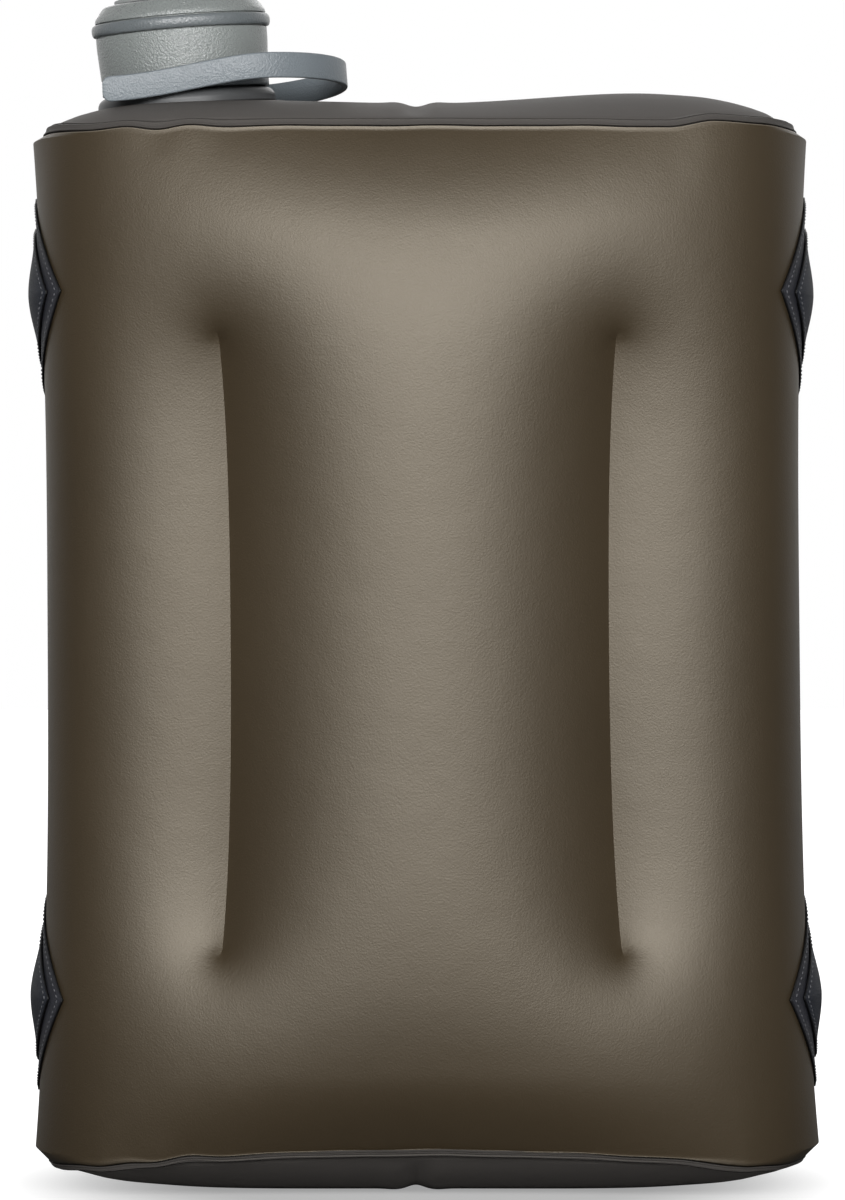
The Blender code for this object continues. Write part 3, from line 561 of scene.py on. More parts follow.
class BagForm:
    """The outer surface of the full bag. A place on it is (arc, z): arc runs round the front from the left side
    line at 0 to the right one at `length`, and a negative arc, or one past the length, is on the rear."""

    def __init__(self, settings):
        self.settings = settings
        self.turn = np.linspace(0.0, math.pi / 2, 2400)
        across = WAIST_HALF_WIDTH * np.cos(self.turn) ** (2 / WAIST_SQUARENESS)
        out = HALF_DEPTH * np.sin(self.turn) ** (2 / WAIST_SQUARENESS)
        self.turn_arc = np.concatenate([[0.0], np.cumsum(np.hypot(np.diff(across), np.diff(out)))])
        self.quarter = float(self.turn_arc[-1])
        self.length = 2 * self.quarter
        self.crease_left = float(np.interp(-CREASE_LEFT_X, across[::-1], self.turn_arc[::-1]))
        self.crease_right = self.length - float(np.interp(CREASE_RIGHT_X, across[::-1], self.turn_arc[::-1]))
        stops = (0.0, self.crease_left, self.crease_right, self.length)
        self.arcs = graded(stops, (SIDE_CELLS, CENTRE_CELLS, SIDE_CELLS))
        stops = (SEAM_BOTTOM_Z, CREASE_LOW_Z, CREASE_HIGH_Z, SEAM_TOP_Z)
        self.heights = graded(stops, (END_CELLS, CREASE_CELLS, END_CELLS))
        self.swell = self.relax()

    def relax(self):
        """How far the film stands out of the plain section: a stretched membrane under pressure, held at the
        seams, calm beside the side lines and drawn in along the two creases. Solved by over-relaxation."""
        arcs, heights = self.arcs, self.heights
        before, after = (weight[:, None] for weight in neighbour_weights(arcs))
        under, above = (weight[None, :] for weight in neighbour_weights(heights))
        inside = smooth_share((arcs - self.crease_left) / SWELL_FADE + 0.5)
        inside = inside * smooth_share((self.crease_right - arcs) / SWELL_FADE + 0.5)
        side, centre = self.settings.side_swell, self.settings.centre_swell
        pressure = (side + (centre - side) * inside)[1:-1, None] / HALF_DEPTH
        middle = 0.5 * (CREASE_LOW_Z + CREASE_HIGH_Z)
        along = np.abs(heights - middle) / (0.5 * (CREASE_HIGH_Z - CREASE_LOW_Z))
        held_depth = self.settings.crease_depth * (1 - (1 - CREASE_END_SHARE) * along**4)
        held = np.zeros((len(arcs), len(heights)), bool)
        for column in (SIDE_CELLS, SIDE_CELLS + CENTRE_CELLS):
            held[column] = along <= 1.0 + 1e-6
        swell = np.where(held, -held_depth[None, :], 0.0)
        parity = np.add.outer(np.arange(len(arcs)), np.arange(len(heights)))[1:-1, 1:-1] % 2
        free = ~held[1:-1, 1:-1]
        longest = max(len(arcs), len(heights))
        over = 2 / (1 + math.sin(math.pi / longest))
        for half_step in range(8 * longest):
            around = before * swell[:-2, 1:-1] + after * swell[2:, 1:-1]
            around = around + under * swell[1:-1, :-2] + above * swell[1:-1, 2:]
            change = over * ((around + pressure) / (before + after + under + above) - swell[1:-1, 1:-1])
            swell[1:-1, 1:-1] += np.where(free & (parity == half_step % 2), change, 0.0)
        swell += WAIST_SWELL * np.clip(1 - ((heights - WAIST_SWELL_Z) / WAIST_SWELL_REACH) ** 2, 0.0, None) ** 2
        from_side = np.minimum(arcs, self.length - arcs)
        return swell * smooth_share(from_side / SIDE_CALM)[:, None]

    def swell_at(self, arc, z):
        column = np.interp(arc, self.arcs, np.arange(len(self.arcs)))
        row = np.interp(z, self.heights, np.arange(len(self.heights)))
        i = np.minimum(column.astype(int), len(self.arcs) - 2)
        k = np.minimum(row.astype(int), len(self.heights) - 2)
        u, v = column - i, row - k
        low = (1 - u) * self.swell[i, k] + u * self.swell[i + 1, k]
        high = (1 - u) * self.swell[i, k + 1] + u * self.swell[i + 1, k + 1]
        return (1 - v) * low + v * high

    def points(self, arc, z, out=0.0):
        """The points at these places, moved out of the surface by `out`; arrays in, an array of xyz out."""
        arc, z, out = np.broadcast_arrays(*(np.asarray(value, float) for value in (arc, z, out)))
        rear = np.where((arc < 0.0) | (arc > self.length), -1.0, 1.0)
        arc = np.where(arc < 0.0, -arc, np.where(arc > self.length, 2 * self.length - arc, arc))
        stand_out = out + self.swell_at(arc, z)
        side = np.where(arc < self.quarter, -1.0, 1.0)
        turn = np.interp(np.minimum(arc, self.length - arc), self.turn_arc, self.turn)
        wide, power = half_width(z), squareness(z)
        cosine, sine = np.clip(np.cos(turn), 0.0, None), np.clip(np.sin(turn), 0.0, None)
        x, y = wide * cosine ** (2 / power), HALF_DEPTH * sine ** (2 / power)
        normal_x, normal_y = cosine ** (2 - 2 / power) / wide, sine ** (2 - 2 / power) / HALF_DEPTH
        size = np.hypot(normal_x, normal_y)
        x = lean_x(z) + side * (x + normal_x / size * stand_out)
        y = -rear * (y + normal_y / size * stand_out) * (1 - seam_draw(x, z))
        return np.stack([x, y, z + seam_shift(x, z)], axis=-1)


def rows_mesh(name, rows, closed=False, flip=False, attributes=None, uv=None):
    """A mesh of quads through rows of points, with float attributes and a UV map given point by point."""
    rows = np.asarray(rows, float)
    count, width = rows.shape[:2]
    index = np.arange(count * width).reshape(count, width)
    if closed:
        index = np.concatenate([index, index[:, :1]], axis=1)
    corners = [index[:-1, :-1], index[:-1, 1:], index[1:, 1:], index[1:, :-1]]
    faces = np.stack(corners[::-1] if flip else corners, axis=-1).reshape(-1, 4)
    mesh = bpy.data.meshes.new(name)
    mesh.from_pydata(rows.reshape(-1, 3).tolist(), [], faces.tolist())
    for key, values in (attributes or {}).items():
        layer = mesh.attributes.new(key, "FLOAT", "POINT")
        layer.data.foreach_set("value", np.broadcast_to(values, (count, width)).reshape(-1).astype(np.float32))
    if uv is not None:
        flat = uv.reshape(-1, 2)[faces.reshape(-1)]
        mesh.uv_layers.new(name="cloth").data.foreach_set("uv", flat.reshape(-1).astype(np.float32))
    return mesh


@contextmanager
def editing(mesh):
    """The mesh as a bmesh, with its normals turned outwards when it is written back."""
    bm = bmesh.new()
    bm.from_mesh(mesh)
    yield bm
    bmesh.ops.recalc_face_normals(bm, faces=bm.faces)
    bm.to_mesh(mesh)
    bm.free()


def turned_mesh(name, profile):
    """A closed profile of (radius, height) points turned about Z; points on the axis become poles."""
    mesh = bpy.data.meshes.new(name)
    with editing(mesh) as bm:
        verts = [bm.verts.new((radius, 0.0, height)) for radius, height in profile]
        pairs = zip(verts, verts[1:] + verts[:1])
        geom = verts + [bm.edges.new(pair) for pair in pairs if max(vert.co.x for vert in pair) > 0.0]
        turn = {"cent": (0, 0, 0), "axis": (0, 0, 1), "angle": 2 * math.pi, "steps": ROUND_STEPS}
        bmesh.ops.spin(bm, geom=geom, use_merge=True, **turn)
        bmesh.ops.remove_doubles(bm, verts=bm.verts, dist=1e-6)
    return mesh


def rounded_profile(*corners):
    """Rounds a closed profile: each corner is (radius, height, rounding)."""
    made = []
    for i, (radius, height, rounding) in enumerate(corners):
        if not rounding or radius == 0.0:
            made.append((radius, height))
            continue
        here, ends = np.array([radius, height]), []
        for other in (corners[i - 1], corners[(i + 1) % len(corners)]):
            away = np.array(other[:2]) - here
            size = np.linalg.norm(away)
            ends.append(here + away / size * min(rounding, size / 2))
        for t in np.linspace(0.0, 1.0, CORNER_STEPS + 1):
            made.append(tuple((1 - t) ** 2 * ends[0] + 2 * t * (1 - t) * here + t * t * ends[1]))
    return made


def ring_profile(inner, outer, low, high, inner_round=0.0):
    """A flat ring's profile, with rounded outer edges."""
    outside = ((outer, low, EDGE_ROUND), (outer, high, EDGE_ROUND))
    return rounded_profile((inner, low, inner_round), *outside, (inner, high, inner_round))


def spout_matrix():
    """The spout's own frame: Z is its axis and its XZ plane holds the long side of the bag."""
    across = Vector((1.0, 0.0, 0.0))
    across = (across - SPOUT_AXIS * across.dot(SPOUT_AXIS)).normalized()
    turn = Matrix((across, SPOUT_AXIS.cross(across), SPOUT_AXIS)).transposed()
    return Matrix.Translation(SPOUT_SEAT) @ turn.to_4x4()


def add_piece(mesh, material, smooth_angle=35.0):
    """Links a mesh as a finished piece at the origin."""
    mesh.materials.append(material)
    mesh.shade_smooth()
    mesh.set_sharp_from_angle(angle=math.radians(smooth_angle))
    piece = bpy.data.objects.new(mesh.name, mesh)
    bpy.context.scene.collection.objects.link(piece)
    return piece


def applied(piece):
    """Turns a piece's modifiers into its plain mesh."""
    bpy.context.view_layer.update()
    evaluated = piece.evaluated_get(bpy.context.evaluated_depsgraph_get())
    mesh = bpy.data.meshes.new_from_object(evaluated)
    old, name = piece.data, piece.name
    piece.modifiers.clear()
    piece.data = mesh
    bpy.data.meshes.remove(old)
    mesh.name = name
    return piece


def thickened(piece, thickness, offset):
    solid = piece.modifiers.new("film", "SOLIDIFY")
    solid.thickness, solid.offset = thickness, offset
    solid.use_even_offset = solid.use_rim = True
    return applied(piece)


def cut_or_joined(piece, tools, operation):
    """Cuts the tool meshes from the piece, or joins them to it."""
    helpers = [bpy.data.objects.new("shaping_tool", mesh) for mesh in tools]
    for helper in helpers:
        bpy.context.scene.collection.objects.link(helper)
        boolean = piece.modifiers.new("shaping", "BOOLEAN")
        boolean.operation, boolean.solver, boolean.object = operation, "EXACT", helper
    applied(piece)
    for mesh in tools:
        bpy.data.meshes.remove(mesh)
    return piece


def carry(piece, body, node=None):
    """Lets a piece ride on its body and stand for its solid."""
    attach(piece, body)
    if node:
        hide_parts(node)


def press(piece):
    """Gives a piece of film its own copy of its mesh."""
    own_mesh(piece)


def add_film(mesh, material, thickness, offset, node):
    """Adds a piece of film or cloth that stays on the bag."""
    piece = thickened(add_piece(mesh, material), thickness, offset)
    carry(piece, "bag", node)
    press(piece)


def add_turned(name, profile, material, body, node, smooth_angle=35.0):
    """Adds a piece that is turned about the spout's axis."""
    mesh = turned_mesh(name, profile)
    mesh.transform(spout_matrix())
    carry(add_piece(mesh, material, smooth_angle), body, node)


def end_outline(z):
    """The sheets' outline at a seam's height, with its outward direction: x, y and their parts of the normal."""
    fine = np.linspace(0.0, 2 * math.pi, 8001)
    cosine, sine, power = np.cos(fine), np.sin(fine), 2 / SEAM_SQUARENESS
    xs = half_width(z) * np.sign(cosine) * np.abs(cosine) ** power
    ys = HALF_DEPTH * np.sign(sine) * np.abs(sine) ** power
    length = np.concatenate([[0.0], np.cumsum(np.hypot(np.diff(xs), np.diff(ys)))])
    places = np.linspace(0.0, length[-1], PANEL_STEPS + 1)[:-1]
    x, y = np.interp(places, length, xs), np.interp(places, length, ys)
    along_x, along_y = np.roll(x, -1) - np.roll(x, 1), np.roll(y, -1) - np.roll(y, 1)
    size = np.hypot(along_x, along_y)
    return lean_x(z) + x, y, along_y / size, -along_x / size


def dome_share(x, y, z_seam):
    """How far the dome of an end panel has risen here: 0 on its band, 1 in its middle."""
    turn = TOP_TURN if z_seam > WAIST_Z else BOTTOM_TURN
    wide, deep = half_width(z_seam) - BAND_LEAN - turn[0], HALF_DEPTH - BAND_LEAN
    along = np.minimum(1.0, np.abs(x - lean_x(z_seam)) / wide)
    local_depth = deep * np.maximum(1e-6, 1 - along**SEAM_SQUARENESS) ** (1 / SEAM_SQUARENESS)
    across = np.minimum(1.0, np.abs(y) / local_depth)
    return (1 - along**END_ROUND_POWER) ** END_BLUNTNESS * (1 - across**DEPTH_ROUND_POWER)


def pinch_at(x, depth, share):
    """The short weld pinch that crosses both end panels in the middle, fading out on their bands. Its lips have
    their own place and height, as shares of its half width and depth."""
    from_pinch = (x - PINCH_X) / PINCH_HALF_WIDTH
    lips = PINCH_LIP[1] * np.exp(-((np.abs(from_pinch) - PINCH_LIP[0]) ** 2))
    return depth * (lips - np.exp(-(from_pinch**2))) * smooth_share(share / PINCH_FADE)


def top_z(x, y, pinch_depth):
    """The top panel's outer surface: a dome, with a flat seat for the spout and a low roll of film round it."""
    band_z = SEAM_TOP_Z + seam_shift(x, SEAM_TOP_Z) + SEAM_GAP + seam_turn(x, 1)[1] + band_height(x, 1)
    crest = TOP_CREST_Z + (TOP_CREST_RIGHT_Z - TOP_CREST_Z) * smooth_share(x / CREST_RIGHT_X)
    fullness = 1 + (TOP_LEFT_FULLNESS - 1) * smooth_share(-x / TOP_LEFT_REACH)
    share = 1 - (1 - dome_share(x, y, SEAM_TOP_Z)) ** fullness
    dome = band_z + (crest - band_z) * share + pinch_at(x, pinch_depth, share)
    lean = SPOUT_AXIS.x * (x - SPOUT_SEAT.x) + SPOUT_AXIS.y * (y - SPOUT_SEAT.y)
    seat = SPOUT_SEAT.z - lean / SPOUT_AXIS.z
    from_spout = np.hypot(x - SPOUT_SEAT.x, y - SPOUT_SEAT.y)
    on_seat = smooth_share((SEAT_FLAT_RADIUS + SEAT_BLEND - from_spout) / SEAT_BLEND)
    roll = np.clip(dome - seat, 0.0, ROLL_HEIGHT) * smooth_share((from_spout - ROLL_RADIUS) / ROLL_BLEND)
    return dome + (seat + roll - dome) * on_seat


def bottom_z(x, y, pinch_depth):
    """The bottom panel's outer surface: a dome pressed flat on the floor."""
    band_z = SEAM_BOTTOM_Z + seam_shift(x, SEAM_BOTTOM_Z) - SEAM_GAP - seam_turn(x, -1)[1] - band_height(x, -1)
    share = dome_share(x, y, SEAM_BOTTOM_Z)
    return np.maximum(0.0, band_z - (band_z + FOOT_SPARE) * share - pinch_at(x, pinch_depth, share))


def end_panel_mesh(name, z_seam, up, surface_z, hole_centre, hole_radius, pinch_depth):
    """An end panel: a welded lip, a leaning band, a groove and a dome, drawn in to a hole or a point. The band's
    profile is (inset, share of the band's height)."""
    profile = [(0.0009, 0.0), (0.0004, 0.05), (0.0002, 0.12), (0.0002, 0.20), (0.0005, 0.28), (0.0006, 0.34)]
    profile += [(0.0009, 0.5), (0.0011, 0.8), (0.0016, 0.86), (0.0021, 0.88), (0.0023, 0.92), (BAND_LEAN, 1.0)]
    rows, weld = [], []
    seam_x, seam_y, normal_x, normal_y = end_outline(z_seam)
    inward, onward = seam_turn(seam_x, up)
    for inset, share in profile:
        x, y = seam_x - normal_x * (inward + inset), seam_y - normal_y * (inward + inset)
        rise = SEAM_GAP + onward + share * band_height(seam_x, up)
        z = z_seam + seam_shift(seam_x, z_seam) + up * rise + weld_wave(seam_x, seam_y) * (1 - 0.4 * share)
        rows.append(np.stack([x, y, z], axis=-1))
        # The band takes the weld's darker tone; its full value on the lip under the sheets' edge and in the groove
        # at the band's top is painted shade.
        weld.append(1.0 if 0.85 < share < 0.95 or share < 0.15 else 0.6)
    outer_x, outer_y = rows[-1][:, 0], rows[-1][:, 1]
    start = math.atan2(outer_y[0] - hole_centre[1], outer_x[0] - hole_centre[0])
    angle = start + 2 * math.pi * np.arange(PANEL_STEPS) / PANEL_STEPS
    hole_x = hole_centre[0] + hole_radius * np.cos(angle)
    hole_y = hole_centre[1] + hole_radius * np.sin(angle)
    for ring in range(1, DOME_RINGS + 1):
        drawn = (ring / DOME_RINGS) ** DOME_RING_POWER
        x, y = outer_x + (hole_x - outer_x) * drawn, outer_y + (hole_y - outer_y) * drawn
        started = smooth_share(drawn / DOME_START)
        z = rows[-1][:, 2] * (1 - started) + surface_z(x, y, pinch_depth) * started
        rows.append(np.stack([x, y, z], axis=-1))
        weld.append(0.0)
    rows = np.array(rows)
    rows[..., 1] *= 1 - seam_draw(rows[..., 0], rows[..., 2])
    return rows_mesh(name, rows, closed=True, flip=up < 0, attributes={"weld": np.array(weld)[:, None]})


def strap_path():
    """The middle line of the strap: the front arm, a half-elliptical bend and the rear arm."""
    tip = STRAP_PIVOT_X - STRAP_HALF_HEIGHT * np.cos(np.linspace(0.0, math.pi / 2, 15)) ** 0.5
    arm = np.concatenate([tip[:-1], np.linspace(STRAP_PIVOT_X, STRAP_BEND_X, 25)[:-1]])
    arm[0] += 1e-5
    angle = np.linspace(-math.pi / 2, math.pi / 2, 65)
    xs = np.concatenate([arm, STRAP_BEND_X + (STRAP_REACH_X - STRAP_BEND_X) * np.cos(angle), arm[::-1]])
    aside = np.concatenate([-np.ones(len(arm)), np.sin(angle), np.ones(len(arm))])
    along = (xs - STRAP_PIVOT_X) / (STRAP_REACH_X - STRAP_PIVOT_X)
    zs = PIVOT_HEIGHT - STRAP_TWIST * smooth_share(along / STRAP_TWIST_SHARE) * aside
    return [Vector(point) for point in zip(xs, STRAP_HALF_SPAN * aside, zs)]


def strap_mesh(name):
    """The strap: a band on edge with rounded corners and round ends, in the spout's own frame."""
    path, rows = strap_path(), []
    for i, point in enumerate(path):
        ahead = path[min(i + 1, len(path) - 1)] - path[max(i - 1, 0)]
        side = ahead.normalized().cross(Vector((0, 0, 1))).normalized()
        from_pivot = min(1.0, max(0.0, STRAP_PIVOT_X - point.x) / STRAP_HALF_HEIGHT)
        half = STRAP_HALF_HEIGHT * (1 - from_pivot**STRAP_END_POWER) ** (1 / STRAP_END_POWER)
        half = max(half, STRAP_END_LEAST)
        corner = min(STRAP_CORNER, 0.8 * half)
        ring = []
        for quarter, (out, rise) in enumerate(((1, 1), (-1, 1), (-1, -1), (1, -1))):
            for angle in np.linspace(0.0, math.pi / 2, 5) + quarter * math.pi / 2:
                across = out * (STRAP_THICK / 2 - corner) + corner * math.cos(angle)
                up = rise * (half - corner) + corner * math.sin(angle)
                ring.append(tuple(point + side * across + Vector((0, 0, up))))
        rows.append(ring)
    mesh = rows_mesh(name, rows, closed=True)
    with editing(mesh) as bm:
        bmesh.ops.holes_fill(bm, edges=[edge for edge in bm.edges if edge.is_boundary], sides=0)
    return mesh


def pivot_mesh(start_y, end_y, radius=None):
    """A round pin of this radius, or a square lug, along Y at the strap's pivot in the spout's own frame."""
    mesh = bpy.data.meshes.new("shaping_tool")
    place = Matrix.Translation((STRAP_PIVOT_X, (start_y + end_y) / 2, PIVOT_HEIGHT))
    length = abs(end_y - start_y)
    with editing(mesh) as bm:
        if radius:
            place = place @ Matrix.Rotation(math.pi / 2, 4, "X")
            sizes = {"segments": 32, "radius1": radius, "radius2": radius, "depth": length}
            bmesh.ops.create_cone(bm, cap_ends=True, matrix=place, **sizes)
        else:
            place = place @ Matrix.Diagonal((LUG_LENGTH, length, LUG_HEIGHT, 1.0))
            bmesh.ops.create_cube(bm, size=1.0, matrix=place)
    return mesh


def lash_half(half_round, share):
    """Half the width of a lash point at this share of its half height: a diamond with swollen sides."""
    return half_round * np.maximum(TIP_SHARE, np.clip(1 - np.abs(share), 0.0, None) ** LASH_FULLNESS)


def patch_out(along, across):
    return PATCH_LOW


def loop_out(along, across):
    """How far a loop's inner face stands off the bag, by its place in the diamond."""
    return LOOP_LOW + LOOP_BULGE * np.cos(along * math.pi / 2) ** 2 * (1 - across * across)


def diamond_mesh(name, form, side_arc, middle_z, half_height, half_round, cells, out_at, hem):
    """A diamond of cloth on the bag's side, with a dark hem: its inset and its blend."""
    along, across = (np.linspace(-1.0, 1.0, count + 1) for count in cells)
    half = lash_half(half_round, along)
    arc = half[:, None] * across[None, :]
    z = np.broadcast_to((along * half_height)[:, None], arc.shape)
    slope = half_height / np.hypot(half_height, np.gradient(half, along))
    from_side = half[:, None] * (1 - np.abs(across))[None, :] * slope[:, None]
    from_edge = np.minimum(from_side, (half_height * (1 - np.abs(along)))[:, None])
    rows = form.points(side_arc + arc, middle_z + z, out_at(along[:, None], across[None, :]))
    edge = 1.0 - smooth_share((from_edge - hem[0]) / hem[1])
    return rows_mesh(name, rows, attributes={"edge": edge}, uv=np.stack([arc, z], axis=-1))


class PieceTree(Graph):
    """A Geometry Nodes tree with named sizes that ends in a real mesh with its material."""

    def __init__(self, name, sizes, on_mesh=False):
        super().__init__(bpy.data.node_groups.new(name, "GeometryNodeTree"))
        face = self.tree.interface
        if on_mesh:
            face.new_socket("Geometry", in_out="INPUT", socket_type="NodeSocketGeometry")
        self.identifiers = {}
        for size, default in sizes.items():
            socket = face.new_socket(size, in_out="INPUT", socket_type="NodeSocketFloat")
            socket.default_value = default
            self.identifiers[size] = socket.identifier
        face.new_socket("Geometry", in_out="OUTPUT", socket_type="NodeSocketGeometry")
        self.given = self.outputs("NodeGroupInput")

    def grow(self, piece, geometry, sizes):
        """Ends the tree, runs it on a piece with these sizes, and keeps the result as the piece's mesh."""
        real = self.node("GeometryNodeRealizeInstances", None, {"Geometry": geometry})
        shown = {"Geometry": real, "Material": piece.data.materials[0]}
        self.node("NodeGroupOutput", None, {0: self.node("GeometryNodeSetMaterial", None, shown)})
        modifier = piece.modifiers.new(self.tree.name, "NODES")
        modifier.node_group = self.tree
        for size, value in sizes.items():
            modifier[self.identifiers[size]] = value
        return applied(piece)


def add_stitches(mesh, material, sizes):
    """Sews round-ended stitches along every edge chain of a mesh, by Geometry Nodes."""
    tree = PieceTree("stitch_rows", sizes, on_mesh=True)
    radius, length = tree.given["Thread Radius"], tree.given["Stitch Length"]
    curve = tree.node("GeometryNodeMeshToCurve", None, {"Mesh": tree.given["Geometry"]})
    spaced = {"Curve": curve, "Length": tree.given["Spacing"]}
    spots = tree.outputs("GeometryNodeCurveToPoints", {"mode": "LENGTH"}, spaced)
    capsule = tree.node("GeometryNodeMeshUVSphere", None, {"Segments": 8, "Rings": 6, "Radius": radius})
    shape = tree.node("ShaderNodeCombineXYZ", None, {"X": 1.0, "Y": 1.0, "Z": length / (radius * 2.0)})
    long = tree.node("GeometryNodeTransform", None, {"Geometry": capsule, "Scale": shape})
    placed = {"Points": spots["Points"], "Instance": long, "Rotation": spots["Rotation"]}
    return tree.grow(add_piece(mesh, material), tree.node("GeometryNodeInstanceOnPoints", None, placed), sizes)


def add_thread(name, material, body, sizes):
    """Adds a screw thread of several starts about the spout's axis, thin at its ends, by Geometry Nodes."""
    tree = PieceTree("screw_thread", sizes)
    given, width = tree.given, tree.given["Width"]
    spiral = {"Resolution": 72, "Rotations": given["Turns"], "Height": given["Lead"] * given["Turns"]}
    spiral |= {"Start Radius": given["Radius"], "End Radius": given["Radius"]}
    spiral = tree.node("GeometryNodeCurveSpiral", None, spiral)
    upright = tree.node("GeometryNodeSetCurveNormal", {"mode": "Z_UP"}, {"Curve": spiral})
    along = tree.node("GeometryNodeSplineParameter")
    thin = along.math("MINIMUM", along * (1.0 - along) * 16.0, 1.0)
    tapered = tree.node("GeometryNodeSetCurveRadius", None, {"Curve": upright, "Radius": thin})
    section = {"Height": given["Depth"] * 2.0, "Bottom Width": width, "Top Width": width * 0.5, "Offset": 0.0}
    section = tree.node("GeometryNodeCurvePrimitiveQuadrilateral", {"mode": "TRAPEZOID"}, section)
    ridge = {"Curve": tapered, "Profile Curve": section, "Fill Caps": True}
    ridge = tree.node("GeometryNodeCurveToMesh", None, ridge)
    lift = tree.node("ShaderNodeCombineXYZ", None, {"Z": given["Start"]})
    joined = tree.node("GeometryNodeJoinGeometry")
    for start in range(THREAD_STARTS):
        moved = {"Geometry": ridge, "Translation": lift, "Rotation": (0.0, 0.0, 2 * math.pi * start / THREAD_STARTS)}
        moved = tree.node("GeometryNodeTransform", None, moved)
        tree.tree.links.new(moved.socket, joined.socket.node.inputs[0])
    piece = tree.grow(add_piece(bpy.data.meshes.new(name), material), joined, sizes)
    piece.data.transform(spout_matrix())
    carry(piece, body)


def colour_of(name, description, default):
    limits = {"subtype": "COLOR", "size": 3, "min": 0.0, "max": 1.0}
    return bpy.props.FloatVectorProperty(name=name, description=description, default=default, **limits)


def number_of(name, description, default, unit="NONE"):
    return bpy.props.FloatProperty(name=name, description=description, default=default, unit=unit)


def length_of(name, description, default):
    return number_of(name, description, default, "LENGTH")


class ContainerBagSettings(bpy.types.PropertyGroup):
    film_colour: colour_of("Film colour", "Colour of the front and rear sheets", (0.037, 0.0235, 0.0090))
    end_colour: colour_of("End colour", "Colour of the top and bottom panels", (0.106, 0.098, 0.092))
    # The edge colour is partly the sheets' cut edge and partly a painted highlight along their top edge.
    cut_edge_and_highlight_colour: colour_of("Edge colour", "Colour of the cut edge of the sheets", (0.20, 0.17, 0.13))
    grain_size: length_of("Grain size", "Width of the pebbles in the film", 0.00042)
    grain_height: length_of("Grain height", "Height of the pebbles in the film", 0.000042)
    crease_depth: length_of("Crease depth", "How far the baffles draw the sheets in", 0.0082)
    centre_swell: number_of("Centre swell", "How strongly the middle lobe swells", 0.68)
    side_swell: number_of("Side swell", "How strongly the side lobes swell", 0.40)
    pinch_depth: length_of("Pinch depth", "Depth of the pinch across the end panels", 0.0011)


class ContainerClosureSettings(bpy.types.PropertyGroup):
    cap_colour: colour_of("Cap colour", "Colour of the cap's shell", (0.255, 0.275, 0.268))
    bead_colour: colour_of("Bead colour", "Colour of the cap's bead ring", (0.160, 0.178, 0.186))
    disc_colour: colour_of("Disc colour", "Colour of the disc on the crown", (0.36, 0.375, 0.37))
    strap_colour: colour_of("Strap colour", "Colour of the carrying strap", (0.195, 0.222, 0.242))
    flange_colour: colour_of("Flange colour", "Colour of the spout's foot", (0.078, 0.080, 0.082))
    neck_colour: colour_of("Neck colour", "Colour of the threaded neck", (0.34, 0.35, 0.36))
    # The stop ring's near-black is partly its own colour and partly painted shade under the cap's skirt.
    stop_ring_and_shade_colour: colour_of("Stop ring colour", "Colour of the ring under the cap", (0.012, 0.012, 0.013))
    thread_lead: length_of("Thread lead", "Rise of the cap in one turn", 0.008)
    thread_depth: length_of("Thread depth", "How far the thread stands off its wall", 0.0010)
    thread_width: length_of("Thread width", "Width of the thread at its foot", 0.0016)


class ContainerLashSettings(bpy.types.PropertyGroup):
    patch_colour: colour_of("Patch colour", "Colour of the diamond patches", (0.031, 0.032, 0.040))
    loop_colour: colour_of("Loop colour", "Colour of the loops on them", (0.020, 0.0235, 0.033))
    outline_colour: colour_of("Outline colour", "Colour of their sealed edges", (0.003, 0.003, 0.0035))
    stitch_colour: colour_of("Stitch colour", "Colour of the sewing thread", (0.11, 0.112, 0.12))
    weave_pitch: length_of("Weave pitch", "Distance between threads of the weave", 0.0007)
    stitch_spacing: length_of("Stitch spacing", "Distance from stitch to stitch", 0.0019)
    stitch_length: length_of("Stitch length", "Length of one stitch", 0.0010)
    stitch_radius: length_of("Thread radius", "Radius of the sewing thread", 0.00022)


class ContainerStudioSettings(bpy.types.PropertyGroup):
    key_power: number_of("Key power", "Power of the large lamp by the camera", 31.0, "POWER")
    rear_power: number_of("Rear power", "Power of the weak lamp behind the object", 3.2, "POWER")
    ambient: number_of("Ambient", "Strength of the room's own light", 0.10)
    floor_colour: colour_of("Floor colour", "Colour of the floor", (0.40, 0.40, 0.40))


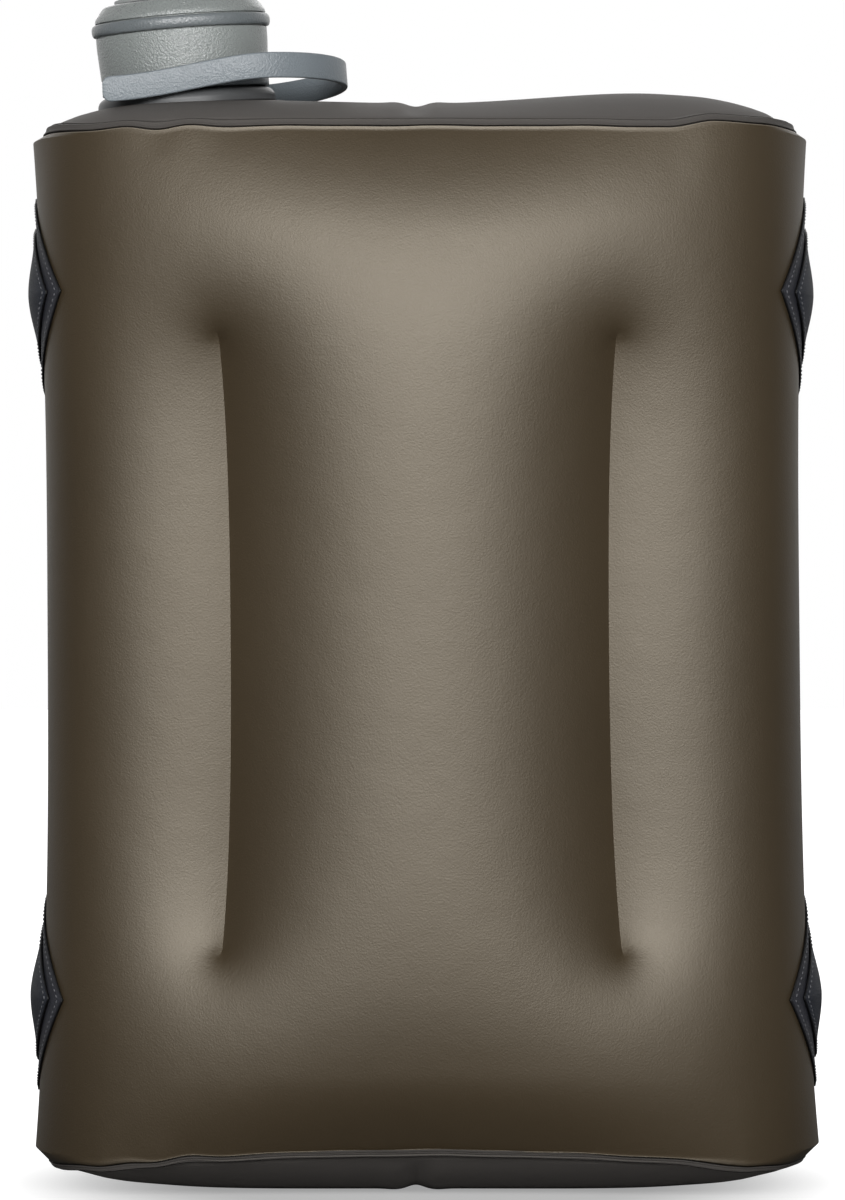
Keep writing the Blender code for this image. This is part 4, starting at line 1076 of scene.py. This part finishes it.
class CONTAINER_OT_film_sheets(bpy.types.Operator):
    """Make the front and the rear sheet of the bag"""

    bl_idname = "container.film_sheets"
    bl_label = "Film sheets"

    def execute(self, context):
        settings = context.scene.container_bag
        form = BagForm(settings)
        material = film_finish("brown_film", settings.film_colour, settings.cut_edge_and_highlight_colour, FILM_ROUGHNESS, settings)
        arcs = form.arcs.copy()
        arcs[0] += SEAM_GAP / 2
        arcs[-1] -= SEAM_GAP / 2
        low, high = [SEAM_BOTTOM_Z, SEAM_BOTTOM_Z + SEAM_ROW], [SEAM_TOP_Z - SEAM_ROW, SEAM_TOP_Z]
        heights = np.concatenate([low, form.heights[1:-1], high])
        points = form.points(arcs[None, :], heights[:, None])
        near_seam = smooth_share(1 - np.minimum(heights - SEAM_BOTTOM_Z, SEAM_TOP_Z - heights) / WAVE_REACH)
        points[..., 2] += weld_wave(points[..., 0], points[..., 1]) * near_seam[:, None]
        low, high = (self.turned_rows(form, arcs, z, up) for z, up in ((SEAM_BOTTOM_Z, -1), (SEAM_TOP_Z, 1)))
        points = np.concatenate([low[::-1], points, high])
        # The pale top edge rows are partly the cut edge and partly a painted highlight; the full weld on the bottom
        # turned rows is a painted shadow line under the sheet's edge.
        edge, weld = np.zeros((2, len(points), 1))
        edge[-2:, 0] = 0.6, 1.0
        weld[:3, 0] = 1.0, 1.0, 0.6
        for rear, node, body in ((False, "front_panel", "front"), (True, "rear_panel", "rear")):
            rows = points * np.array([1.0, -1.0, 1.0]) if rear else points
            mesh = rows_mesh(f"{body}_sheet", rows, flip=rear, attributes={"edge": edge, "weld": weld})
            piece = thickened(add_piece(mesh, material), FILM, -1.0)
            carry(piece, body, node)
            press(piece)
        return {"FINISHED"}

    def turned_rows(self, form, arcs, z_seam, up):
        """The rows past the seam, where the sheet turns over the end panel."""
        rows = []
        inward, onward = seam_turn(form.points(arcs, z_seam)[:, 0], up)
        for share in (0.2, 0.4, 0.6, 0.8, 1.0):
            row = form.points(arcs, z_seam, -inward * share)
            row[:, 2] += up * onward * share + weld_wave(row[:, 0], row[:, 1])
            rows.append(row)
        return np.array(rows)


class CONTAINER_OT_end_panels(bpy.types.Operator):
    """Make the top and the bottom panel with their weld bands"""

    bl_idname = "container.end_panels"
    bl_label = "End panels"

    def execute(self, context):
        settings = context.scene.container_bag
        colour, pinch = settings.end_colour, settings.pinch_depth
        material = film_finish("grey_film", colour, shade(colour, 0.9), END_ROUGHNESS, settings, END_SPECULAR)
        hole = (SPOUT_SEAT.x, SPOUT_SEAT.y), NECK_RADIUS + 2 * SEAM_GAP
        top = end_panel_mesh("top_end", SEAM_TOP_Z, 1, top_z, *hole, pinch)
        hole = (0.0, 0.0), FOOT_CENTRE_RADIUS
        bottom = end_panel_mesh("bottom_end", SEAM_BOTTOM_Z, -1, bottom_z, *hole, pinch)
        with editing(bottom) as bm:
            bound = [edge for edge in bm.edges if edge.is_boundary]
            ring = [edge for edge in bound if max(v.co.xy.length for v in edge.verts) < 2 * FOOT_CENTRE_RADIUS]
            bmesh.ops.holes_fill(bm, edges=ring, sides=0)
        if sum(face.normal.z for face in bottom.polygons) > 0:
            bottom.flip_normals()
        add_film(top, material, FILM, -1.0, "top_panel")
        add_film(bottom, material, FILM, -1.0, "bottom_panel")
        return {"FINISHED"}


class CONTAINER_OT_inner_films(bpy.types.Operator):
    """Make the baffles and the strips that back the side lines"""

    bl_idname = "container.inner_films"
    bl_label = "Inner films"

    def execute(self, context):
        settings = context.scene.container_bag
        form = BagForm(settings)
        colour = shade(settings.film_colour, 2.0)
        material = film_finish("inner_film", colour, colour, INNER_ROUGHNESS, settings)
        heights = form.heights[END_CELLS : END_CELLS + CREASE_CELLS + 1]
        share = np.linspace(1.0, -1.0, 25)
        wave = BAFFLE_WAVE[0] * np.cos(share * math.pi / 2)[None, :] * np.sin(heights / BAFFLE_WAVE[1])[:, None]
        for side, arc in (("left", form.crease_left), ("right", form.crease_right)):
            edge = form.points(arc, heights, -FILM * CREASE_SLOPE_SPARE - SEAM_GAP)
            rows = np.repeat(edge[:, None, :], len(share), axis=1)
            rows[..., 1] *= share[None, :]
            rows[..., 0] += wave
            mesh = rows_mesh(f"inner_baffle_{side}", rows)
            add_film(mesh, material, INNER_FILM, 0.0, f"baffle_{side}")
        offsets = form.crease_left * STRIP_SHARE * np.linspace(-1.0, 1.0, 16)
        for side, arc in (("left", 0.0), ("right", form.length)):
            rows = form.points(arc + offsets[None, :], form.heights[6:-6, None], -FILM - SEAM_GAP - STRIP_SPARE)
            mesh = rows_mesh(f"inner_seam_{side}", rows)
            add_film(mesh, material, INNER_FILM, -1.0, f"side_seam_{side}")
        return {"FINISHED"}


class CONTAINER_OT_spout(bpy.types.Operator):
    """Make the spout's foot, its threaded neck and the stop ring"""

    bl_idname = "container.spout"
    bl_label = "Spout"

    def execute(self, context):
        settings = context.scene.container_closure
        bore, foot = NECK_RADIUS + SEAM_GAP, SEAM_GAP + FLANGE_FOOT_HEIGHT
        flange = [(bore, SEAM_GAP), (FLANGE_RADIUS - 0.0003, SEAM_GAP), (FLANGE_RADIUS, SEAM_GAP + 0.0003)]
        for angle in np.linspace(0.0, math.pi / 2, 13):
            rise = (FLANGE_HEIGHT - FLANGE_FOOT_HEIGHT) * math.sin(angle)
            flange.append((FLANGE_RADIUS - FLANGE_ROUND * (1 - math.cos(angle)), foot + rise))
        flange.append((bore, SEAM_GAP + FLANGE_HEIGHT))
        shoulder_top = STOP_RING_LOW - SEAM_GAP
        neck = rounded_profile(
            (NECK_BORE_RADIUS, -NECK_FOOT, 0.0),
            (NECK_RADIUS, -NECK_FOOT, EDGE_ROUND),
            (NECK_RADIUS, COLLAR_LOW, 0.0),
            (NECK_SHOULDER_RADIUS, COLLAR_LOW, 0.0),
            (NECK_SHOULDER_RADIUS, shoulder_top, EDGE_ROUND / 2),
            (NECK_RADIUS, shoulder_top, 0.0),
            (NECK_RADIUS, NECK_TOP, 0.0006),
            (NECK_BORE_RADIUS, NECK_TOP, 0.0005),
        )
        stop = ring_profile(bore, STOP_RING_RADIUS, STOP_RING_LOW, STOP_RING_LOW + STOP_RING_HEIGHT)
        dark = moulded_finish("dark_moulding", settings.flange_colour)
        pale = moulded_finish("pale_moulding", settings.neck_colour)
        # The near-black stop ring is partly its own colour and partly painted shade under the cap's skirt.
        black = moulded_finish("black_moulding", settings.stop_ring_and_shade_colour)
        add_turned("spout_foot", flange, dark, "bag", "spout_flange")
        add_turned("threaded_neck", neck, pale, "bag", "spout_neck")
        add_turned("stop_ring", stop, black, "bag", "neck_stop_ring")
        sizes = {"Radius": NECK_RADIUS, "Start": NECK_THREAD_LOW, "Depth": settings.thread_depth}
        sizes |= {"Lead": settings.thread_lead, "Turns": THREAD_TURNS, "Width": settings.thread_width}
        add_thread("neck_thread", pale, "bag", sizes)
        return {"FINISHED"}


class CONTAINER_OT_cap(bpy.types.Operator):
    """Make the screw cap with its bead ring, crown disc and seal"""

    bl_idname = "container.cap"
    bl_label = "Screw cap"

    def execute(self, context):
        settings = context.scene.container_closure
        shell = rounded_profile(
            (CAP_INNER_RADIUS, CAP_FOOT, EDGE_ROUND),
            (CAP_FOOT_RADIUS, CAP_FOOT, 0.0005),
            (CAP_RADIUS, CAP_TAPER_TOP, 0.002),
            (CAP_RADIUS, CAP_BARREL_TOP, EDGE_ROUND),
            (CAP_GROOVE_RADIUS, CAP_BARREL_TOP, 0.0),
            (CAP_GROOVE_RADIUS, CAP_GROOVE_TOP, 0.0),
            (CAP_RADIUS, CAP_GROOVE_TOP, EDGE_ROUND),
            (CAP_RADIUS - 0.0002, CAP_GROOVE_TOP + 0.0013, 0.0006),
            (CAP_CROWN_TOP_RADIUS + 0.0006, CAP_CROWN_TOP - 0.0003, 0.0010),
            (CAP_CROWN_TOP_RADIUS - 0.0012, CAP_CROWN_TOP, 0.0006),
            (0.0, CAP_CROWN_TOP, 0.0),
            (0.0, CAP_CEILING, 0.0),
            (CAP_INNER_RADIUS, CAP_CEILING, EDGE_ROUND),
        )
        low, high, inner = CAP_BARREL_TOP + SEAM_GAP, CAP_GROOVE_TOP - SEAM_GAP, CAP_GROOVE_RADIUS + SEAM_GAP
        ring = [(inner, high), (inner, low)]
        for angle in np.linspace(-math.pi / 2, math.pi / 2, 17):
            bulge = CAP_RING_BULGE * (max(0.0, math.cos(angle)) ** 0.7 - 1)
            ring.append((CAP_RING_RADIUS + bulge, (low + high + (high - low) * math.sin(angle)) / 2))
        low, high = CAP_CROWN_TOP + SEAM_GAP, CAP_CROWN_TOP + SEAM_GAP + DISC_HEIGHT
        disc = [(0.0, low, 0.0), (DISC_RADIUS, low, 0.0), (DISC_RADIUS, high, DISC_ROUND), (0.0, high, 0.0)]
        disc = rounded_profile(*disc)
        high, outer = CAP_CEILING - SEAM_GAP, CAP_INNER_RADIUS - 2 * SEAM_GAP
        seal = ring_profile(SEAL_INNER_RADIUS, outer, high - SEAL_HEIGHT, high, EDGE_ROUND)
        grey = moulded_finish("cap_moulding", settings.cap_colour)
        bead = moulded_finish("bead_moulding", settings.bead_colour)
        pale = moulded_finish("disc_moulding", settings.disc_colour)
        rubber = soft_rubber_finish("seal_silicone", SEAL_COLOUR)
        add_turned("cap_body", shell, grey, "cap", "cap_shell", 30.0)
        add_turned("cap_bead", ring, bead, "cap", "cap_ring", 30.0)
        add_turned("crown_disc", disc, pale, "cap", "cap_top_disc", 30.0)
        add_turned("cap_gasket", seal, rubber, "seal", "cap_seal", 30.0)
        sizes = {"Radius": CAP_INNER_RADIUS, "Start": CAP_THREAD_LOW, "Depth": settings.thread_depth * 0.8}
        sizes |= {"Lead": settings.thread_lead, "Turns": THREAD_TURNS, "Width": settings.thread_width}
        add_thread("cap_thread", grey, "cap", sizes)
        return {"FINISHED"}


class CONTAINER_OT_strap(bpy.types.Operator):
    """Make the carrying strap and the collar that it swings on"""

    bl_idname = "container.strap"
    bl_label = "Carrying strap"

    def execute(self, context):
        material = moulded_finish("strap_moulding", context.scene.container_closure.strap_colour)
        inner = NECK_SHOULDER_RADIUS + RUNNING_GAP
        ring = ring_profile(inner, COLLAR_RADIUS, COLLAR_LOW, COLLAR_LOW + COLLAR_HEIGHT)
        collar = add_piece(turned_mesh("strap_collar", ring), material)
        arm_face = STRAP_HALF_SPAN - STRAP_THICK / 2
        pin_low, pin_high = arm_face - JOINT_BITE, arm_face + PIVOT_DEPTH
        lug_start = math.sqrt(COLLAR_RADIUS**2 - STRAP_PIVOT_X**2) - JOINT_BITE
        lugs, sockets = [], []
        for side in (-1, 1):
            lugs.append(pivot_mesh(side * lug_start, side * (arm_face - SEAM_GAP)))
            lugs.append(pivot_mesh(side * (pin_low - SEAM_GAP), side * (pin_high - SEAM_GAP), PIVOT_RADIUS))
            sockets.append(pivot_mesh(side * pin_low, side * pin_high, PIVOT_RADIUS + PIVOT_CLEARANCE))
        cut_or_joined(collar, lugs, "UNION").data.transform(spout_matrix())
        carry(collar, "collar", "bail_collar")
        hoop = add_piece(strap_mesh("strap_hoop"), material, 50.0)
        cut_or_joined(hoop, sockets, "DIFFERENCE").data.transform(spout_matrix())
        carry(hoop, "strap", "bail_hoop")
        return {"FINISHED"}


class CONTAINER_OT_lash_points(bpy.types.Operator):
    """Make the four diamond patches with their loops and stitches"""

    bl_idname = "container.lash_points"
    bl_label = "Lash points"

    def execute(self, context):
        settings = context.scene.container_lash
        form = BagForm(context.scene.container_bag)
        cloth = woven_finish("patch_cloth", settings.patch_colour, settings)
        webbing = woven_finish("loop_cloth", settings.loop_colour, settings)
        patch = (PATCH_HALF_HEIGHT, PATCH_HALF_ROUND, (72, 64), patch_out, PATCH_HEM)
        loop = (LOOP_HALF_HEIGHT, LOOP_HALF_ROUND, (56, 72), loop_out, LOOP_HEM)
        seams = []
        for side, arc in (("left", 0.0), ("right", form.length)):
            for level, middle_z in (("upper", PATCH_UPPER_Z), ("lower", PATCH_LOWER_Z)):
                place = (form, arc, middle_z)
                mesh = diamond_mesh(f"patch_{side}_{level}", *place, *patch)
                add_film(mesh, cloth, PATCH_THICK, 1.0, f"lash_patch_{side}_{level}")
                mesh = diamond_mesh(f"loop_{side}_{level}", *place, *loop)
                add_film(mesh, webbing, LOOP_THICK, 1.0, f"lash_loop_{side}_{level}")
                seams += self.seam_lines(*place)
        points, edges = [], []
        for line in seams:
            edges += [(len(points) + i, len(points) + i + 1) for i in range(len(line) - 1)]
            points += line.tolist()
        mesh = bpy.data.meshes.new("lash_stitches")
        mesh.from_pydata(points, edges, [])
        sizes = {"Spacing": settings.stitch_spacing, "Stitch Length": settings.stitch_length}
        sizes["Thread Radius"] = settings.stitch_radius
        stitches = add_stitches(mesh, thread_finish("sewing_thread", settings.stitch_colour), sizes)
        carry(stitches, "bag")
        press(stitches)
        return {"FINISHED"}

    def seam_lines(self, form, arc, middle_z):
        """The lines of stitches round a patch and down the loop's edges, on their outer faces."""
        lines = []
        share = np.linspace(-STITCH_SHARE, STITCH_SHARE, 160)
        for half_height, half_round, inset, out_at, thick in (
            (PATCH_HALF_HEIGHT, PATCH_HALF_ROUND, PATCH_STITCH_INSET, patch_out, PATCH_THICK),
            (LOOP_HALF_HEIGHT, LOOP_HALF_ROUND, LOOP_STITCH_INSET, loop_out, LOOP_THICK),
        ):
            edge = lash_half(half_round, share)
            half = np.maximum(0.0, edge - inset)
            out = out_at(share, half / edge) + thick + STITCH_LIFT
            for direction in (-1, 1):
                lines.append(form.points(arc + direction * half, middle_z + share * half_height, out))
        return lines


class CONTAINER_OT_studio(bpy.types.Operator):
    """Set up the floor, the lamps, the white surroundings and the camera"""

    bl_idname = "container.studio"
    bl_label = "Studio"

    def execute(self, context):
        settings, scene = context.scene.container_studio, context.scene
        scene.view_settings.view_transform = "Standard"
        camera_data = bpy.data.cameras.new("photo_camera")
        camera_data.sensor_fit, camera_data.sensor_height = "VERTICAL", CAMERA_SENSOR
        camera_data.lens, camera_data.clip_end = CAMERA_LENS, 50.0
        camera = bpy.data.objects.new("photo_camera", camera_data)
        camera.location, camera.rotation_euler = CAMERA_PLACE, (math.pi / 2, 0.0, 0.0)
        scene.collection.objects.link(camera)
        scene.camera = camera
        self.add_lamp(scene, "key_softbox", KEY_LAMP, settings.key_power)
        self.add_lamp(scene, "rear_softbox", REAR_LAMP, settings.rear_power)
        corners = [[(x, y, 0) for x in (-FLOOR_HALF, FLOOR_HALF)] for y in (-FLOOR_HALF, FLOOR_HALF)]
        floor = add_piece(rows_mesh("studio_floor", corners), self.paper(settings))
        self.surround(scene, settings)
        return {"FINISHED"}

    def add_lamp(self, scene, name, place_and_size, power):
        place, size = place_and_size
        lamp = bpy.data.lights.new(name, "AREA")
        lamp.shape, lamp.energy = "RECTANGLE", power
        lamp.size, lamp.size_y = size
        held = bpy.data.objects.new(name, lamp)
        held.location, held.visible_camera = place, False
        held.rotation_euler = (LAMP_TARGET - Vector(place)).to_track_quat("-Z", "Y").to_euler()
        scene.collection.objects.link(held)

    def paper(self, settings):
        """White paper, which clips to white in the picture and keeps the object's shadow; its glow is lower near the
        object, a painted shade round it.
        """
        finish = Finish("studio_paper", 0.9, 0.1)
        rays = finish.outputs("ShaderNodeLightPath")
        colour = settings.floor_colour
        paper = finish.mix(finish.noise(400.0, 3.0), shade(colour, 0.98), shade(colour, 1.02))
        paper = finish.mix(rays["Is Diffuse Ray"], paper, shade(colour, FLOOR_MATT_SHARE))
        finish.feed(Base_Color=finish.mix(rays["Is Glossy Ray"], paper, shade(colour, FLOOR_GLOSS_SHARE)))
        place = finish.outputs("ShaderNodeSeparateXYZ", None, {0: finish.place})
        # Painted shade round the object: the camera sees less glow inside this ellipse, and more as it fades out.
        across, deep = place["X"] * (1 / SHADE_POOL_HALF_SIZE[0]), place["Y"] * (1 / SHADE_POOL_HALF_SIZE[1])
        far = ((across * across + deep * deep) ** 0.5).ramp(*SHADE_POOL_FADE)
        strength = rays["Is Camera Ray"] * (FLOOR_GLOW_AND_SHADE[0] + FLOOR_GLOW_AND_SHADE[1] * far)
        glow = finish.node("ShaderNodeEmission", None, {"Color": WHITE, "Strength": strength})
        both = finish.node("ShaderNodeAddShader", None, {0: Wire(finish, finish.shader.outputs[0]), 1: glow})
        finish.tree.links.new(both.socket, finish.tree.nodes["Material Output"].inputs["Surface"])
        return finish.material

    def surround(self, scene, settings):
        """White to the camera, even grey light for matt surfaces, and bright behind for the sheen on the rim."""
        scene.world = bpy.data.worlds.new("studio_room")
        scene.world.use_nodes = True
        graph = Graph(scene.world.node_tree)
        graph.tree.nodes.clear()
        towards = graph.node("ShaderNodeTexCoord", output="Generated")
        behind = graph.outputs("ShaderNodeSeparateXYZ", None, {0: towards})["Y"].ramp(0.0, 0.95, 0.03, 0.95)
        rays = graph.outputs("ShaderNodeLightPath")
        gloss = rays["Is Glossy Ray"]
        seen = gloss.math("MAXIMUM", rays["Is Camera Ray"], rays["Is Transmission Ray"])
        matt = 1.0 - gloss.math("MAXIMUM", seen, gloss)
        strength = settings.ambient * matt + seen + gloss * (1.0 - seen) * behind
        light = graph.node("ShaderNodeBackground", None, {"Color": WHITE, "Strength": strength})
        graph.node("ShaderNodeOutputWorld", None, {"Surface": light})


class CONTAINER_PT_panel(bpy.types.Panel):
    """Lists the container's settings and its pieces"""

    bl_idname = "CONTAINER_PT_panel"
    bl_label = "Soft Water Container"
    bl_space_type = "VIEW_3D"
    bl_region_type = "UI"
    bl_category = "Container"

    def draw(self, context):
        for name in SETTINGS:
            group = getattr(context.scene, name)
            box = self.layout.box()
            for key in group.bl_rna.properties.keys():
                if key not in {"rna_type", "name"}:
                    box.prop(group, key)
        for operator in OPERATORS:
            self.layout.operator(operator.bl_idname)


SETTINGS = {
    "container_bag": ContainerBagSettings,
    "container_closure": ContainerClosureSettings,
    "container_lash": ContainerLashSettings,
    "container_studio": ContainerStudioSettings,
}
OPERATORS = (
    CONTAINER_OT_film_sheets,
    CONTAINER_OT_end_panels,
    CONTAINER_OT_inner_films,
    CONTAINER_OT_spout,
    CONTAINER_OT_cap,
    CONTAINER_OT_strap,
    CONTAINER_OT_lash_points,
    CONTAINER_OT_studio,
)


def register():
    for name, group in SETTINGS.items():
        bpy.utils.register_class(group)
        setattr(bpy.types.Scene, name, bpy.props.PointerProperty(type=group))
    for operator in (*OPERATORS, CONTAINER_PT_panel):
        bpy.utils.register_class(operator)


def unregister():
    for operator in (CONTAINER_PT_panel, *reversed(OPERATORS)):
        bpy.utils.unregister_class(operator)
    for name, group in SETTINGS.items():
        delattr(bpy.types.Scene, name)
        bpy.utils.unregister_class(group)


def main():
    register()
    bpy.ops.container.film_sheets()
    bpy.ops.container.end_panels()
    bpy.ops.container.inner_films()
    bpy.ops.container.spout()
    bpy.ops.container.cap()
    bpy.ops.container.strap()
    bpy.ops.container.lash_points()
    bpy.ops.container.studio()


if __name__ == "__main__":
    main()
